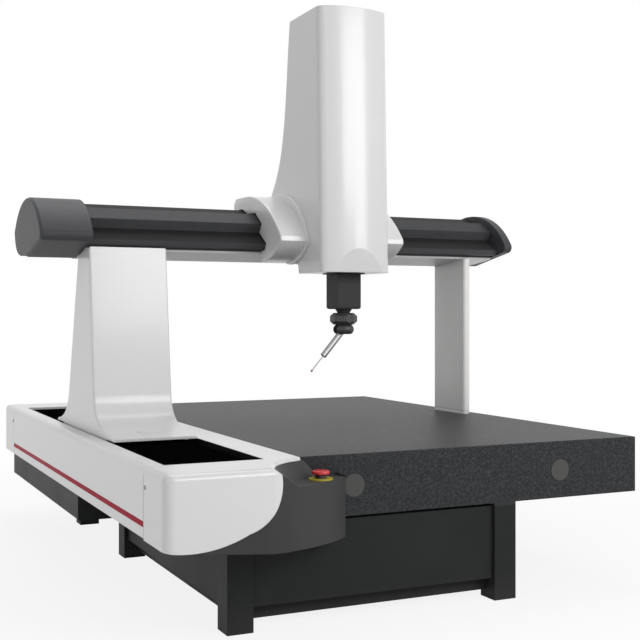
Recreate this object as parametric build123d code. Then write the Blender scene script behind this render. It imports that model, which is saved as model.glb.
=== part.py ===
import os
from math import cos, radians
from build123d import *

# Moving-bridge coordinate measuring machine, in millimetres.
# X runs along the beam, Y along the table away from the operator, Z up.
# The origin is on the floor under the middle of the beam and of the guideway cover.

# Table and stand
TABLE_Z = 650.0              # working height of the granite top
GRANITE_THICK = 243.0
GRANITE_LEFT = -510.0        # inner edge of the working slab
GRANITE_RIGHT = 1133.0
GRANITE_EDGE = 3.0           # polished chamfer along the top edges
GROOVE_X = 975.0             # groove beside the track of the right post
GROOVE_WIDTH = 6.0
GROOVE_DEPTH = 3.0
LEDGE_WIDTH = 490.0          # lower step of the slab that carries the guideway
LEDGE_DROP = 130.0           # step below the table top
ISOLATOR_THICK = 12.0
LEG_SIZE = 105.0
LEG_WALL = 8.0
LEG_LEFT = -802.0            # outer face of the left legs
LEG_RIGHT = 490.0            # outer face of the right legs
MIDDLE_ROW = 0.607           # middle row of legs, as a share of the way to the rear row
LEG_REAR_INSET = 243.0       # rear row in front of the rear end of the granite
FOOT_PLATE = 10.0
RAIL_HEIGHT = 90.0
RAIL_WIDTH = 60.0
PANEL_THICK = 6.0
PANEL_INSET = 52.0           # front panel behind the faces of the legs
PANEL_BOTTOM = 92.0
SKIRT_INSET = 70.0
SKIRT_BOTTOM = 34.0

# Threaded inserts and lifting-hole plugs in the granite
INSERT_PITCH_X = 333.0
INSERT_PITCH_Y = 333.0
INSERT_COLUMNS = 4
INSERT_ROWS = 5
INSERT_FIRST_X = -113.0
INSERT_MARGIN = 335.0        # front edge of the granite to the first row
INSERT_OUTER_R = 12.0
INSERT_BORE_R = 5.1
INSERT_DEPTH = 32.0
PLUG_R = 46.0
PLUG_DEPTH = 24.0
PLUG_PROUD = 2.0
PLUG_Z = 526.0
PLUG_X = (-274.0, 719.0)

# Guideway cover on the left of the table
COVER_LEFT = -1122.0
COVER_BOTTOM = 391.0
COVER_WALL = 10.0
COVER_HOOK = 30.0            # flange hooked under the granite ledge
COVER_CORNER_R = 26.0
COVER_HALF_LENGTH = 1605.0
NOSE_LENGTH = 258.0          # front cap, ahead of the granite
TAIL_LENGTH = 302.0          # rear cap
GRANITE_REAR_INSET = 342.0   # rear end of the granite inside the tail
OPENING_LEFT = -1046.0
OPENING_RIGHT = -654.0
RIM_LIP = 22.0               # turned-down edge round the opening
BELT_THICK = 2.0
BELT_DROP = 12.0             # belt below the table top
CAP_NOSE_R = 40.0
CAP_TAIL_R = 40.0
PARTING_STEP = 8.0           # console face behind the white nose
NOSE_FLAT_END = -719.0       # where the flat nose starts to sweep back
NOSE_SWEEP_X = -590.0
NOSE_SWEEP = 62.0
LID_THICK = 12.0             # white lid over the console
PARTING_DROP = 6.0
PARTING_LOW = ((-997.0, 377.0), (-813.0, 426.0))
PARTING_HIGH = (-700.0, 520.0)
PARTING_TOP_X = -690.0

# Console with the emergency stop
CONSOLE_RIGHT = -338.0
CONSOLE_BOTTOM = 345.0
CONSOLE_FLAT_END = -740.0
CONSOLE_SWEEP_X = -520.0
CONSOLE_SWEEP = 68.0
CONSOLE_DRAFT = 12.0         # side face leans in towards the front
CONSOLE_SIDE = 78.0          # length of the side face
CONSOLE_KEEL_X = -700.0
CONSOLE_KEEL_RISE = 34.0
CONSOLE_BROW_X = -440.0      # right end of the high part under the lid
SHELF_Z = 574.0              # floor of the shelf for the stop
SHELF_RIM = 6.0              # right rim over the floor
SHELF_MARGIN = 14.0          # width of the right rim
# Wall of the shelf, at its floor and at the table top: front end, then X and distance ahead of the granite
SHELF_LOW_LEFT = -612.0
SHELF_LOW_WRAP = (-560.0, 98.0)
SHELF_LOW_END = (-440.0, 18.0)
SHELF_HIGH_LEFT = -722.0
SHELF_HIGH_WRAP = (-622.0, 68.0)
SHELF_HIGH_END = (-505.0, 6.0)
SHELF_OVERCUT = 10.0         # cut runs out past the nose
STOP_X = -462.0
STOP_FORWARD = 93.0          # centre ahead of the granite
STOP_RING_R = 46.0
STOP_RING_THICK = 5.0
STOP_COLLAR_R = 22.0
STOP_COLLAR_HEIGHT = 16.0
STOP_HEAD_R = 34.0
STOP_HEAD_THICK = 13.0
STOP_STEM_R = 13.0
STOP_TRAVEL = 5.0
STOP_FIT = 0.08              # radial clearance of the stem in its collar
STOP_GAP = 0.4               # left under the head when it is pushed home
STOP_ROUND = 7.0

# Service cabinet hung under the rear half of the cover
CABINET_FRONT = -316.0
CABINET_REAR_GAP = 7.0       # rear end ahead of the seam of the rear cap
CABINET_BOTTOM = 278.0
CABINET_WIDTH = 300.0
CABINET_EDGE = 6.0

# Guideway and bridge carriage
GUIDE_WIDTH = 120.0
GUIDE_HEIGHT = 56.0
GUIDE_MARGIN = 40.0          # rail ends inside the ends of the granite
AIR_GAP = 0.05               # film of every air bearing
PAD_R = 42.0
PAD_THICK = 16.0
Y_CARRIAGE_HALF = 430.0
Y_CARRIAGE_PLATE = 24.0
CHEEK_THICK = 24.0
Y_PAD_INSET = 84.0
Y_COIL_HALF = 143.0
TRACK_MARGIN = 4.0           # casting to magnet track or scale
HANGER_THICK = 10.0
HANGER_GAP = 6.0             # hanger to the edge of the belt
FOOT_LIFT = 3.0              # foot over the rims of the cover

# Left leg of the bridge, a cast column with a flared foot
LEG_X0 = -1038.0
LEG_X1 = -670.0
FOOT_FRONT = -617.0
FOOT_REAR = 503.0
FOOT_EDGE = 12.0
COLUMN_FRONT_TOP = -171.0
COLUMN_FRONT_LOW = -254.0
COLUMN_REAR_TOP = 52.0
COLUMN_REAR_LOW = 250.0
FLARE_HEIGHT = 160.0
FOOT_SLOPE = 0.12            # rise of the foot where the flare begins
LEG_EDGE_R = 9.0
FOOT_CAP_X = -838.0
FOOT_CAP_Y = -480.0
FOOT_CAP_RX = 62.0
FOOT_CAP_RY = 42.0
FOOT_CAP_PROUD = 2.0

# Right post of the bridge
POST_X0 = 1030.0
POST_X1 = 1073.0
POST_Y0 = -104.0
POST_Y1 = 212.0
POST_CORNER_R = 16.0
POST_PAD = 14.0

# Beam
BEAM_HALF_LENGTH = 1269.0
LEFT_CAP_LENGTH = 239.0
RIGHT_CAP_LENGTH = 52.0
BEAM_TOP = 1734.0
BEAM_BOTTOM = 1466.0
BEAM_REAR = 220.0
BEAM_SOLE_FRONT = -84.0      # front edge of the pale slanted underside
BEAM_SOLE_RISE = 29.0
BEAM_SOLE_FLAT = 150.0       # where the slanted underside turns flat
SOLE_THICK = 10.0
BEAM_FRONT_STEPS = (         # grooved front as depth in Y and drop below the top
    (170.0, 0.0), (95.0, 30.0), (-10.0, 34.0), (-92.0, 90.0),
    (-62.0, 132.0), (-151.0, 192.0), (-137.0, 216.0), (-84.0, 222.0),
)
HELMET_NOSE = (-238.0, 199.0)    # end cap, in Y and drop below the top of the beam
HELMET_BROW = (-130.0, 72.0)
HELMET_CROWN = (120.0, -13.0)
HELMET_REAR = (320.0, 32.0)
HELMET_BACK = (440.0, 129.0)
HELMET_NAPE = (405.0, 208.0)
HELMET_TAIL = (270.0, 16.0)      # in Y and height over the bottom of the beam
HELMET_CHIN_Y = 127.0
CAP_EDGE_R = 14.0
HELMET_NOSE_R = 30.0
X_SCALE_RISE = 40.0
TRACK_WIDTH = 60.0
TRACK_DROP = 24.0            # magnet track below the top of the beam
SCALE_WIDTH = 14.0
SCALE_THICK = 1.5
TRACK_THICK = 8.0

# Carriage
TOWER_X = 181.0              # centre line of tower and quill
TOWER_WIDTH = 368.0
TOWER_TOP = 2668.0
TOWER_BOTTOM = 1395.0
TOWER_FRONT_TOP = -440.0
TOWER_FRONT_LOW = -478.0
TOWER_BULGE = 44.0           # crown of the convex front
TOWER_BACK_TOP = -103.0
TOWER_BACK_LOW = 133.0
TOWER_FLARE_Z = 1819.0
TOWER_BACK_CURVE = ((-70.0, 2437.0), (-27.0, 2147.0), (29.0, 1969.0))
TOWER_WALL = 10.0
TOWER_CORNER_R = 46.0        # rounded upright corners of the front
TOWER_STEP = 30.0            # upright step under the sweep of the back
TOWER_CHIN = (-205.0, 26.0)  # underside behind the quill, in Y and drop below the beam
TOWER_SOLE_REAR = -215.0
FACET_TOP = 1528.0           # apex of the flat facet at the front of the tower
FACET_DEPTH = 24.0
FACET_MARGIN = 40.0
COLLAR_LEFT = -155.0
COLLAR_RIGHT = 520.0
COLLAR_GAP = 6.0             # collar bore to the beam
COLLAR_PEAK = (-346.0, 175.0)    # collar, in Y and drop below the top of the beam
COLLAR_BROW = (-187.0, 47.0)
COLLAR_CROWN = (100.0, -66.0)
COLLAR_RIDGE = (262.0, -68.0)
COLLAR_BACK = (290.0, -42.0)
COLLAR_OPEN = 24.0           # open underside above the bottom of the beam
COLLAR_LIP = (-96.0, 13.0)   # lip under the beam, in Y and drop below it
COLLAR_LIP_REAR = -90.0
COLLAR_CHIN = (-240.0, 25.0)
COLLAR_PEAK_R = 44.0         # round of the front crease
COLLAR_RIM_R = 10.0
FAIRING_R = 40.0             # hollow round between collar and tower
FRAME_WALL = 20.0
FRAME_REAR_WALL = 40.0
FRAME_TOP_WALL = 30.0
FRAME_SHOULDER_Y = -40.0
FRAME_SHOULDER_DROP = 70.0
ARM_OFFSET = 70.0            # arm under the beam, from the centre line
X_PAD_INSET = 42.0
X_PAD_LENGTH = 84.0
TOP_PAD_WIDTH = 42.0
REAR_PAD_RISE = 84.0
REAR_PAD_HEIGHT = 63.0
X_PAD = 16.0
COIL_GAP = 1.0               # magnetic gap of the linear motors

# Quill
QUILL_SIZE = 126.0
QUILL_Y = -341.0
QUILL_BOTTOM = 1219.0
QUILL_LENGTH = 1000.0
QUILL_WALL = 12.0
QUILL_EDGE_R = 11.0
QUILL_DOWN = 195.0           # downward travel from the pose shown
Z_GUIDE_HEIGHT = 90.0
Z_GUIDE_WALL = 28.0
UPPER_GUIDE_Z = 1780.0
GUIDE_BACK = 22.0            # guides reach behind the quill
SPINE_THICK = 16.0
BALANCE_R = 24.0
BALANCE_ROD_R = 8.0
BALANCE_X = 128.0            # cylinder beside the quill
BALANCE_BOTTOM = 1480.0
BALANCE_MARGIN = 14.0        # cylinder under the crosshead, quill down
ROD_FIT = 0.1
ROD_START = 30.0             # end of the rod over the foot of the cylinder, quill down
CROSSHEAD_THICK = 20.0

# Indexing probe head
NECK_R = 42.0
NECK_WAIST_R = 30.0
NECK_HEIGHT = 18.0
HEAD_ACROSS = 124.0
HEAD_SIDES = 8
HEAD_HEIGHT = 58.0
HEAD_BEVEL = 16.0
DIAL_R = 20.0                # round cover on the front face of the head
DIAL_PROUD = 3.0
DIAL_PIT_R = 8.0
ROTOR_R = 51.0
ROTOR_HEIGHT = 46.0
ROTOR_GAP = 0.4
ROTOR_LOW_R = 35.7
ROTOR_TOP_R = 38.25
ROTOR_SLOT = 61.2            # slot cut past the outside of the rotor
SPIGOT_R = 22.0
SPIGOT_HEIGHT = 20.0
SPIGOT_FIT = 0.08
KNUCKLE_R = 19.0
KNUCKLE_WIDTH = 36.0
KNUCKLE_SIDE_GAP = 0.5
KNUCKLE_ROOM = 1.5
PIN_R = 5.0
PIN_FIT = 0.06
PIN_REACH = 15.3             # pin into each cheek of the rotor
TILT_DEG = 40.8              # probe tilt in the pose shown
PROBE_R = 15.0
BOSS_LENGTH = 6.0
PROBE_LENGTH = 164.0
STYLUS_R = 3.0
STYLUS_LENGTH = 92.0
BALL_R = 5.5

MID_ARC = 1 - cos(radians(45))  # middle of a quarter round, as a share of its radius
PARTS = {}

# Places that follow from the length of the cover
GRANITE_FRONT = NOSE_LENGTH - COVER_HALF_LENGTH
GRANITE_REAR = COVER_HALF_LENGTH - GRANITE_REAR_INSET
CAP_SEAM_REAR = COVER_HALF_LENGTH - TAIL_LENGTH
STOP_Y = GRANITE_FRONT - STOP_FORWARD


def outline(start, *moves):
    """Closed face from straight moves (a point) and arcs (a via point and an end point)."""
    edges = []
    at = start
    for move in moves:
        if isinstance(move[0], tuple):
            edges.append(ThreePointArc(at, move[0], move[1]))
            at = move[1]
        else:
            edges.append(Line(at, move))
            at = move
    if at != start:
        edges.append(Line(at, start))
    return make_face(edges)


def along_x(face, x0, x1):
    return extrude(Plane.YZ.offset(x0) * face, amount=x1 - x0, dir=(1, 0, 0))


def along_y(face, y0, y1):
    return extrude(Plane.XZ.offset(-y0) * face, amount=y1 - y0, dir=(0, 1, 0))


def along_z(face, z0, z1):
    return extrude(Plane.XY.offset(z0) * face, amount=z1 - z0, dir=(0, 0, 1))


def block(x, y, z):
    middle = [(low + high) / 2 for low, high in (x, y, z)]
    return Pos(*middle) * Box(x[1] - x[0], y[1] - y[0], z[1] - z[0])


def disc(radius, z0, z1, x, y):
    return Pos(x, y, z0) * Cylinder(radius, z1 - z0, align=(Align.CENTER, Align.CENTER, Align.MIN))


def square_tube(size, wall, x, y, z0, z1):
    half = size / 2
    outer = block((x - half, x + half), (y - half, y + half), (z0, z1))
    inner = block((x - half + wall, x + half - wall), (y - half + wall, y + half - wall), (z0, z1))
    return outer - inner


# Stand: six square-tube legs with foot plates, rails under the granite, sheet panels between
granite_bottom = TABLE_Z - GRANITE_THICK
stand_top = granite_bottom - ISOLATOR_THICK
leg_half = LEG_SIZE / 2
leg_x = (LEG_LEFT + leg_half, LEG_RIGHT - leg_half)
rear_pitch = GRANITE_REAR - LEG_REAR_INSET - GRANITE_FRONT
leg_y = [GRANITE_FRONT + leg_half + rear_pitch * share for share in (0, MIDDLE_ROW, 1)]
leg_spots = [(x, y) for y in leg_y for x in leg_x]
PARTS["stand_legs"] = [square_tube(LEG_SIZE, LEG_WALL, x, y, FOOT_PLATE, stand_top) for x, y in leg_spots]
PARTS["foot_plates"] = [
    block((x - leg_half, x + leg_half), (y - leg_half, y + leg_half), (0, FOOT_PLATE)) for x, y in leg_spots
]
PARTS["isolator_pads"] = [
    block((x - leg_half, x + leg_half), (y - leg_half, y + leg_half), (stand_top, granite_bottom))
    for x, y in leg_spots
]

bay_starts = [y + leg_half for y in leg_y[:-1]]
bay_ends = [y - leg_half for y in leg_y[1:]]
rail_z = (stand_top - RAIL_HEIGHT, stand_top)
top_rails = [
    block((x - RAIL_WIDTH / 2, x + RAIL_WIDTH / 2), (y0, y1), rail_z)
    for x in leg_x
    for y0, y1 in zip(bay_starts, bay_ends)
]
inner_x = (leg_x[0] + leg_half, leg_x[1] - leg_half)
top_rails += [block(inner_x, (y - RAIL_WIDTH / 2, y + RAIL_WIDTH / 2), rail_z) for y in leg_y]
PARTS["top_rails"] = top_rails

panel_z = (PANEL_BOTTOM, stand_top)
panel_y = GRANITE_FRONT + PANEL_INSET - RAIL_WIDTH / 2
front_panel_y = min(panel_y, leg_y[0] - RAIL_WIDTH / 2 - PANEL_THICK)
PARTS["front_panel"] = block(inner_x, (front_panel_y, front_panel_y + PANEL_THICK), panel_z)
first_bay = (bay_starts[0], bay_ends[0])
side_panel_x = RAIL_WIDTH / 2 + PANEL_THICK
PARTS["side_panels"] = [
    block((leg_x[0] - side_panel_x, leg_x[0] - RAIL_WIDTH / 2), first_bay, panel_z),
    block((leg_x[1] + RAIL_WIDTH / 2, leg_x[1] + side_panel_x), first_bay, panel_z),
]
skirt_z = (SKIRT_BOTTOM, PANEL_BOTTOM)
skirt_y = GRANITE_FRONT + SKIRT_INSET
left_skirt_x = LEG_LEFT + SKIRT_INSET
right_skirt_x = LEG_RIGHT - SKIRT_INSET
PARTS["skirt_rails"] = [
    block(inner_x, (skirt_y, GRANITE_FRONT + LEG_SIZE), skirt_z),
    block((left_skirt_x, LEG_LEFT + LEG_SIZE), first_bay, skirt_z),
    block((LEG_RIGHT - LEG_SIZE, right_skirt_x), first_bay, skirt_z),
]

# Granite: a stepped slab, its lower ledge carries the guideway, with inserts and plugs let in
ledge_z = TABLE_Z - LEDGE_DROP
ledge_left = GRANITE_LEFT - LEDGE_WIDTH
granite_face = outline(
    (ledge_left, granite_bottom),
    (GRANITE_RIGHT, granite_bottom),
    (GRANITE_RIGHT, TABLE_Z),
    (GRANITE_LEFT, TABLE_Z),
    (GRANITE_LEFT, ledge_z),
    (ledge_left, ledge_z),
)
granite = along_y(granite_face, GRANITE_FRONT, GRANITE_REAR)
top_edges = granite.faces().sort_by(Axis.Z)[-1].edges()
granite = chamfer(top_edges, GRANITE_EDGE)
groove_z = (TABLE_Z - GROOVE_DEPTH, TABLE_Z)
granite -= block((GROOVE_X, GROOVE_X + GROOVE_WIDTH), (GRANITE_FRONT, GRANITE_REAR), groove_z)
insert_spots = [
    (INSERT_FIRST_X + column * INSERT_PITCH_X, GRANITE_FRONT + INSERT_MARGIN + row * INSERT_PITCH_Y)
    for row in range(INSERT_ROWS)
    for column in range(INSERT_COLUMNS)
]
insert_z = TABLE_Z - INSERT_DEPTH
inserts = []
for x, y in insert_spots:
    bush = disc(INSERT_OUTER_R, insert_z, TABLE_Z, x, y)
    granite -= bush
    inserts.append(bush - disc(INSERT_BORE_R, insert_z, TABLE_Z, x, y))
plugs = []
for x in PLUG_X:
    plug_turn = Pos(x, GRANITE_FRONT, PLUG_Z) * Rot(90, 0, 0)
    seat = Pos(0, 0, -PLUG_DEPTH / 2) * Cylinder(PLUG_R, PLUG_DEPTH)
    proud = Pos(0, 0, PLUG_PROUD / 2) * Cylinder(PLUG_R, PLUG_PROUD)
    granite -= plug_turn * seat
    plugs.append(plug_turn * (seat + proud))
PARTS["granite_table"] = granite
PARTS["table_inserts"] = inserts
PARTS["lifting_plugs"] = plugs

# Guideway on the ledge under the left leg, with the magnet track of the drive and the scale beside it
guide_x = (LEG_X0 + LEG_X1) / 2
guide_half = GUIDE_WIDTH / 2
guide_y = (GRANITE_FRONT + GUIDE_MARGIN, GRANITE_REAR - GUIDE_MARGIN)
guide_top = ledge_z + GUIDE_HEIGHT
PARTS["y_guideway"] = block((guide_x - guide_half, guide_x + guide_half), guide_y, (ledge_z, guide_top))
cheek_in = guide_half + AIR_GAP + PAD_THICK
cheek_out = cheek_in + CHEEK_THICK
track_x = guide_x + cheek_out + TRACK_MARGIN
track_end = track_x + GUIDE_WIDTH / 2
PARTS["y_magnet_track"] = block((track_x, track_end), guide_y, (ledge_z, ledge_z + TRACK_THICK))
scale_x = guide_x - cheek_out - TRACK_MARGIN - SCALE_WIDTH
PARTS["y_scale"] = block((scale_x, scale_x + SCALE_WIDTH), guide_y, (ledge_z, ledge_z + SCALE_THICK))

# Covers round the guideway: outer shell, inner rim and the fixed dust belt between them
cover_length = (GRANITE_FRONT, CAP_SEAM_REAR)
corner = COVER_CORNER_R * MID_ARC
shell_face = outline(
    (COVER_LEFT, COVER_BOTTOM),
    (COVER_LEFT, TABLE_Z - COVER_CORNER_R),
    ((COVER_LEFT + corner, TABLE_Z - corner), (COVER_LEFT + COVER_CORNER_R, TABLE_Z)),
    (OPENING_LEFT, TABLE_Z),
    (OPENING_LEFT, TABLE_Z - RIM_LIP),
    (OPENING_LEFT - COVER_WALL, TABLE_Z - RIM_LIP),
    (OPENING_LEFT - COVER_WALL, TABLE_Z - COVER_WALL),
    (COVER_LEFT + COVER_CORNER_R, TABLE_Z - COVER_WALL),
    (COVER_LEFT + COVER_WALL, TABLE_Z - COVER_CORNER_R),
    (COVER_LEFT + COVER_WALL, granite_bottom),
    (ledge_left + COVER_HOOK, granite_bottom),
    (ledge_left + COVER_HOOK, COVER_BOTTOM),
)
PARTS["guideway_outer_cover"] = along_y(shell_face, *cover_length)
rim_face = outline(
    (OPENING_RIGHT, TABLE_Z - RIM_LIP),
    (OPENING_RIGHT, TABLE_Z),
    (GRANITE_LEFT, TABLE_Z),
    (GRANITE_LEFT, ledge_z),
    (GRANITE_LEFT - COVER_WALL, ledge_z),
    (GRANITE_LEFT - COVER_WALL, TABLE_Z - COVER_WALL),
    (OPENING_RIGHT + COVER_WALL, TABLE_Z - COVER_WALL),
    (OPENING_RIGHT + COVER_WALL, TABLE_Z - RIM_LIP),
)
PARTS["guideway_inner_cover"] = along_y(rim_face, *cover_length)
belt_z = TABLE_Z - BELT_DROP
belt_inset = HANGER_THICK + HANGER_GAP
belt_x = (LEG_X0 + belt_inset, LEG_X1 - belt_inset)
PARTS["dust_belt"] = block(belt_x, cover_length, (belt_z - BELT_THICK, belt_z))

# Front cap: a white nose whose face ends in one sweeping parting line towards the console
nose_front = -COVER_HALF_LENGTH
nose_mid = CAP_NOSE_R * MID_ARC
nose_plan = outline(
    (COVER_LEFT, GRANITE_FRONT),
    (COVER_LEFT, nose_front + CAP_NOSE_R),
    ((COVER_LEFT + nose_mid, nose_front + nose_mid), (COVER_LEFT + CAP_NOSE_R, nose_front)),
    (NOSE_FLAT_END, nose_front),
    ((NOSE_SWEEP_X, nose_front + NOSE_SWEEP), (GRANITE_LEFT, GRANITE_FRONT - NOSE_SWEEP)),
    (GRANITE_LEFT, GRANITE_FRONT),
)
lid_z = TABLE_Z - LID_THICK
nose_side = outline(
    (COVER_LEFT, COVER_BOTTOM - PARTING_DROP),
    PARTING_LOW,
    (PARTING_HIGH, (PARTING_TOP_X, lid_z)),
    (GRANITE_LEFT, lid_z),
    (GRANITE_LEFT, TABLE_Z),
    (COVER_LEFT, TABLE_Z),
)
nose = along_z(nose_plan, CONSOLE_BOTTOM, TABLE_Z) & along_y(nose_side, nose_front, GRANITE_FRONT)
nose_edges = nose.faces().sort_by(Axis.Z)[-1].edges().filter_by(
    lambda edge: edge.center().Y < GRANITE_FRONT - 1 and edge.center().X < NOSE_FLAT_END
)
nose = fillet(nose_edges, COVER_CORNER_R)
shelf_right = CONSOLE_RIGHT - SHELF_MARGIN
shelf_front = nose_front - SHELF_OVERCUT


def shelf_outline(height, left, wrap, end):
    """Plan of the shelf at one height: a hollow wall round the stop, open to the front."""
    plan = outline(
        (left, shelf_front),
        ((wrap[0], GRANITE_FRONT - wrap[1]), (end[0], GRANITE_FRONT - end[1])),
        (end[0], GRANITE_FRONT),
        (shelf_right, GRANITE_FRONT),
        (shelf_right, shelf_front),
    )
    return Pos(0, 0, height) * plan


shelf = loft(
    [
        shelf_outline(SHELF_Z, SHELF_LOW_LEFT, SHELF_LOW_WRAP, SHELF_LOW_END),
        shelf_outline(TABLE_Z, SHELF_HIGH_LEFT, SHELF_HIGH_WRAP, SHELF_HIGH_END),
    ],
    ruled=True,
)
PARTS["guideway_front_cap"] = nose - shelf

tail_mid = CAP_TAIL_R * MID_ARC
tail_end = COVER_HALF_LENGTH
rear_plan = outline(
    (COVER_LEFT, CAP_SEAM_REAR),
    (GRANITE_LEFT, CAP_SEAM_REAR),
    (GRANITE_LEFT, tail_end - CAP_TAIL_R),
    ((GRANITE_LEFT - tail_mid, tail_end - tail_mid), (GRANITE_LEFT - CAP_TAIL_R, tail_end)),
    (COVER_LEFT + CAP_TAIL_R, tail_end),
    ((COVER_LEFT + tail_mid, tail_end - tail_mid), (COVER_LEFT, tail_end - CAP_TAIL_R)),
)
rear_cap = along_z(rear_plan, COVER_BOTTOM, TABLE_Z)
rear_edges = rear_cap.faces().sort_by(Axis.Z)[-1].edges().filter_by(
    lambda edge: edge.center().Y > CAP_SEAM_REAR + 1
)
PARTS["guideway_rear_cap"] = fillet(rear_edges, COVER_CORNER_R)

# Console: dark moulding wrapped round the nose, with a sunk shelf for the emergency stop
console_corner = (CONSOLE_RIGHT - CONSOLE_DRAFT, GRANITE_FRONT - CONSOLE_SIDE)
console_plan = outline(
    (COVER_LEFT + PARTING_STEP, GRANITE_FRONT),
    (COVER_LEFT + PARTING_STEP, nose_front + CAP_NOSE_R),
    (COVER_LEFT + CAP_NOSE_R, nose_front + PARTING_STEP),
    (CONSOLE_FLAT_END, nose_front + PARTING_STEP),
    ((CONSOLE_SWEEP_X, nose_front + CONSOLE_SWEEP), console_corner),
    (CONSOLE_RIGHT, GRANITE_FRONT),
)
console_side = outline(
    (COVER_LEFT, CONSOLE_BOTTOM + CONSOLE_KEEL_RISE),
    (CONSOLE_KEEL_X, CONSOLE_BOTTOM),
    (CONSOLE_RIGHT, CONSOLE_BOTTOM),
    (CONSOLE_RIGHT, SHELF_Z + SHELF_RIM),
    (shelf_right, SHELF_Z + SHELF_RIM),
    (CONSOLE_BROW_X, lid_z),
    (COVER_LEFT, lid_z),
)
console = along_z(console_plan, CONSOLE_BOTTOM, TABLE_Z) & along_y(console_side, nose_front, GRANITE_FRONT)
console -= along_z(nose_plan, CONSOLE_BOTTOM, TABLE_Z) & along_y(nose_side, nose_front, GRANITE_FRONT)
PARTS["console_housing"] = console - shelf

# Emergency stop: yellow disc, fixed collar and the red mushroom that is pushed down
PARTS["stop_disc"] = disc(STOP_RING_R, SHELF_Z, SHELF_Z + STOP_RING_THICK, STOP_X, STOP_Y) - disc(
    STOP_COLLAR_R, SHELF_Z, SHELF_Z + STOP_RING_THICK, STOP_X, STOP_Y
)
collar_top = SHELF_Z + STOP_COLLAR_HEIGHT
PARTS["stop_collar"] = disc(STOP_COLLAR_R, SHELF_Z, collar_top, STOP_X, STOP_Y) - disc(
    STOP_STEM_R + STOP_FIT, SHELF_Z, collar_top, STOP_X, STOP_Y
)
stop_head_z = collar_top + STOP_TRAVEL + STOP_GAP
stop_stem = disc(STOP_STEM_R, SHELF_Z + STOP_TRAVEL + STOP_GAP, stop_head_z, STOP_X, STOP_Y)
stop_head = disc(STOP_HEAD_R, stop_head_z, stop_head_z + STOP_HEAD_THICK, STOP_X, STOP_Y)
stop_head = fillet(stop_head.edges().sort_by(Axis.Z)[-1:], STOP_ROUND)
PARTS["stop_button"] = stop_stem + stop_head

# Service cabinet: closed sheet box under the cover
cabinet_x = (COVER_LEFT, COVER_LEFT + CABINET_WIDTH)
cabinet_y = (CABINET_FRONT, CAP_SEAM_REAR - CABINET_REAR_GAP)
cabinet = block(cabinet_x, cabinet_y, (CABINET_BOTTOM, COVER_BOTTOM))
PARTS["service_cabinet"] = chamfer(cabinet.edges().filter_by(Axis.Y).group_by(Axis.Z)[0], CABINET_EDGE)

# Bridge carriage: a casting astride the guideway, on air pads, with hangers beside the belt
foot_mid = (FOOT_FRONT + FOOT_REAR) / 2
carriage_y = (foot_mid - Y_CARRIAGE_HALF, foot_mid + Y_CARRIAGE_HALF)
plate_z = guide_top + AIR_GAP + PAD_THICK
foot_z = TABLE_Z + FOOT_LIFT
y_carriage = block((LEG_X0, LEG_X1), carriage_y, (plate_z, plate_z + Y_CARRIAGE_PLATE))
for side, hanger_x in ((-1, LEG_X0), (1, LEG_X1 - HANGER_THICK)):
    y_carriage += block((hanger_x, hanger_x + HANGER_THICK), carriage_y, (plate_z, foot_z))
    cheek_x = sorted((guide_x + side * cheek_in, guide_x + side * cheek_out))
    y_carriage += block(cheek_x, carriage_y, (ledge_z + TRACK_THICK, plate_z))
PARTS["y_carriage"] = y_carriage
pad_rows = [foot_mid + side * (Y_CARRIAGE_HALF - Y_PAD_INSET) for side in (-1, 1)]
y_pads = [disc(PAD_R, guide_top + AIR_GAP, plate_z, guide_x, y) for y in pad_rows]
side_pad_r = GUIDE_HEIGHT / 2 - TRACK_THICK
for y in pad_rows:
    for side in (-1, 1):
        pad_x = guide_x + side * (guide_half + AIR_GAP + PAD_THICK / 2)
        side_pad = Rot(0, 90, 0) * Cylinder(side_pad_r, PAD_THICK)
        y_pads.append(Pos(pad_x, y, ledge_z + GUIDE_HEIGHT / 2) * side_pad)
PARTS["y_bearing_pads"] = y_pads
coil_z = (ledge_z + TRACK_THICK + COIL_GAP, plate_z)
PARTS["y_motor_coil"] = block(
    (track_x + TRACK_THICK, track_end - TRACK_THICK),
    (foot_mid - Y_COIL_HALF, foot_mid + Y_COIL_HALF),
    coil_z,
)

# Beam section: stepped front, flat top and rear, pale slanted sole underneath
sole_slope = BEAM_SOLE_RISE / (BEAM_SOLE_FLAT - BEAM_SOLE_FRONT)


def sole_z(y):
    return BEAM_BOTTOM + max(0.0, BEAM_SOLE_FLAT - y) * sole_slope


front_steps = [(y, BEAM_TOP - drop) for y, drop in BEAM_FRONT_STEPS]
sole_line = [
    (BEAM_SOLE_FRONT, sole_z(BEAM_SOLE_FRONT)),
    (BEAM_SOLE_FLAT, BEAM_BOTTOM),
    (BEAM_REAR, BEAM_BOTTOM),
]
beam_section = outline((BEAM_REAR, BEAM_TOP), *front_steps, *sole_line)
beam_x = (-BEAM_HALF_LENGTH + LEFT_CAP_LENGTH, BEAM_HALF_LENGTH - RIGHT_CAP_LENGTH)
sole_face = outline(*sole_line, *[(y, z + SOLE_THICK) for y, z in reversed(sole_line)])
sole = along_x(sole_face, *beam_x)
track_z = (BEAM_TOP - TRACK_DROP - TRACK_WIDTH, BEAM_TOP - TRACK_DROP)
x_track = block(beam_x, (BEAM_REAR - TRACK_THICK, BEAM_REAR), track_z)
PARTS["beam"] = along_x(beam_section, *beam_x) - sole - x_track
PARTS["beam_sole"] = sole
PARTS["x_magnet_track"] = x_track
x_scale_z = BEAM_BOTTOM + X_SCALE_RISE
PARTS["x_scale"] = block(beam_x, (BEAM_REAR, BEAM_REAR + SCALE_THICK), (x_scale_z, x_scale_z + SCALE_WIDTH))


def below_top(spot):
    return (spot[0], BEAM_TOP - spot[1])


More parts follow.
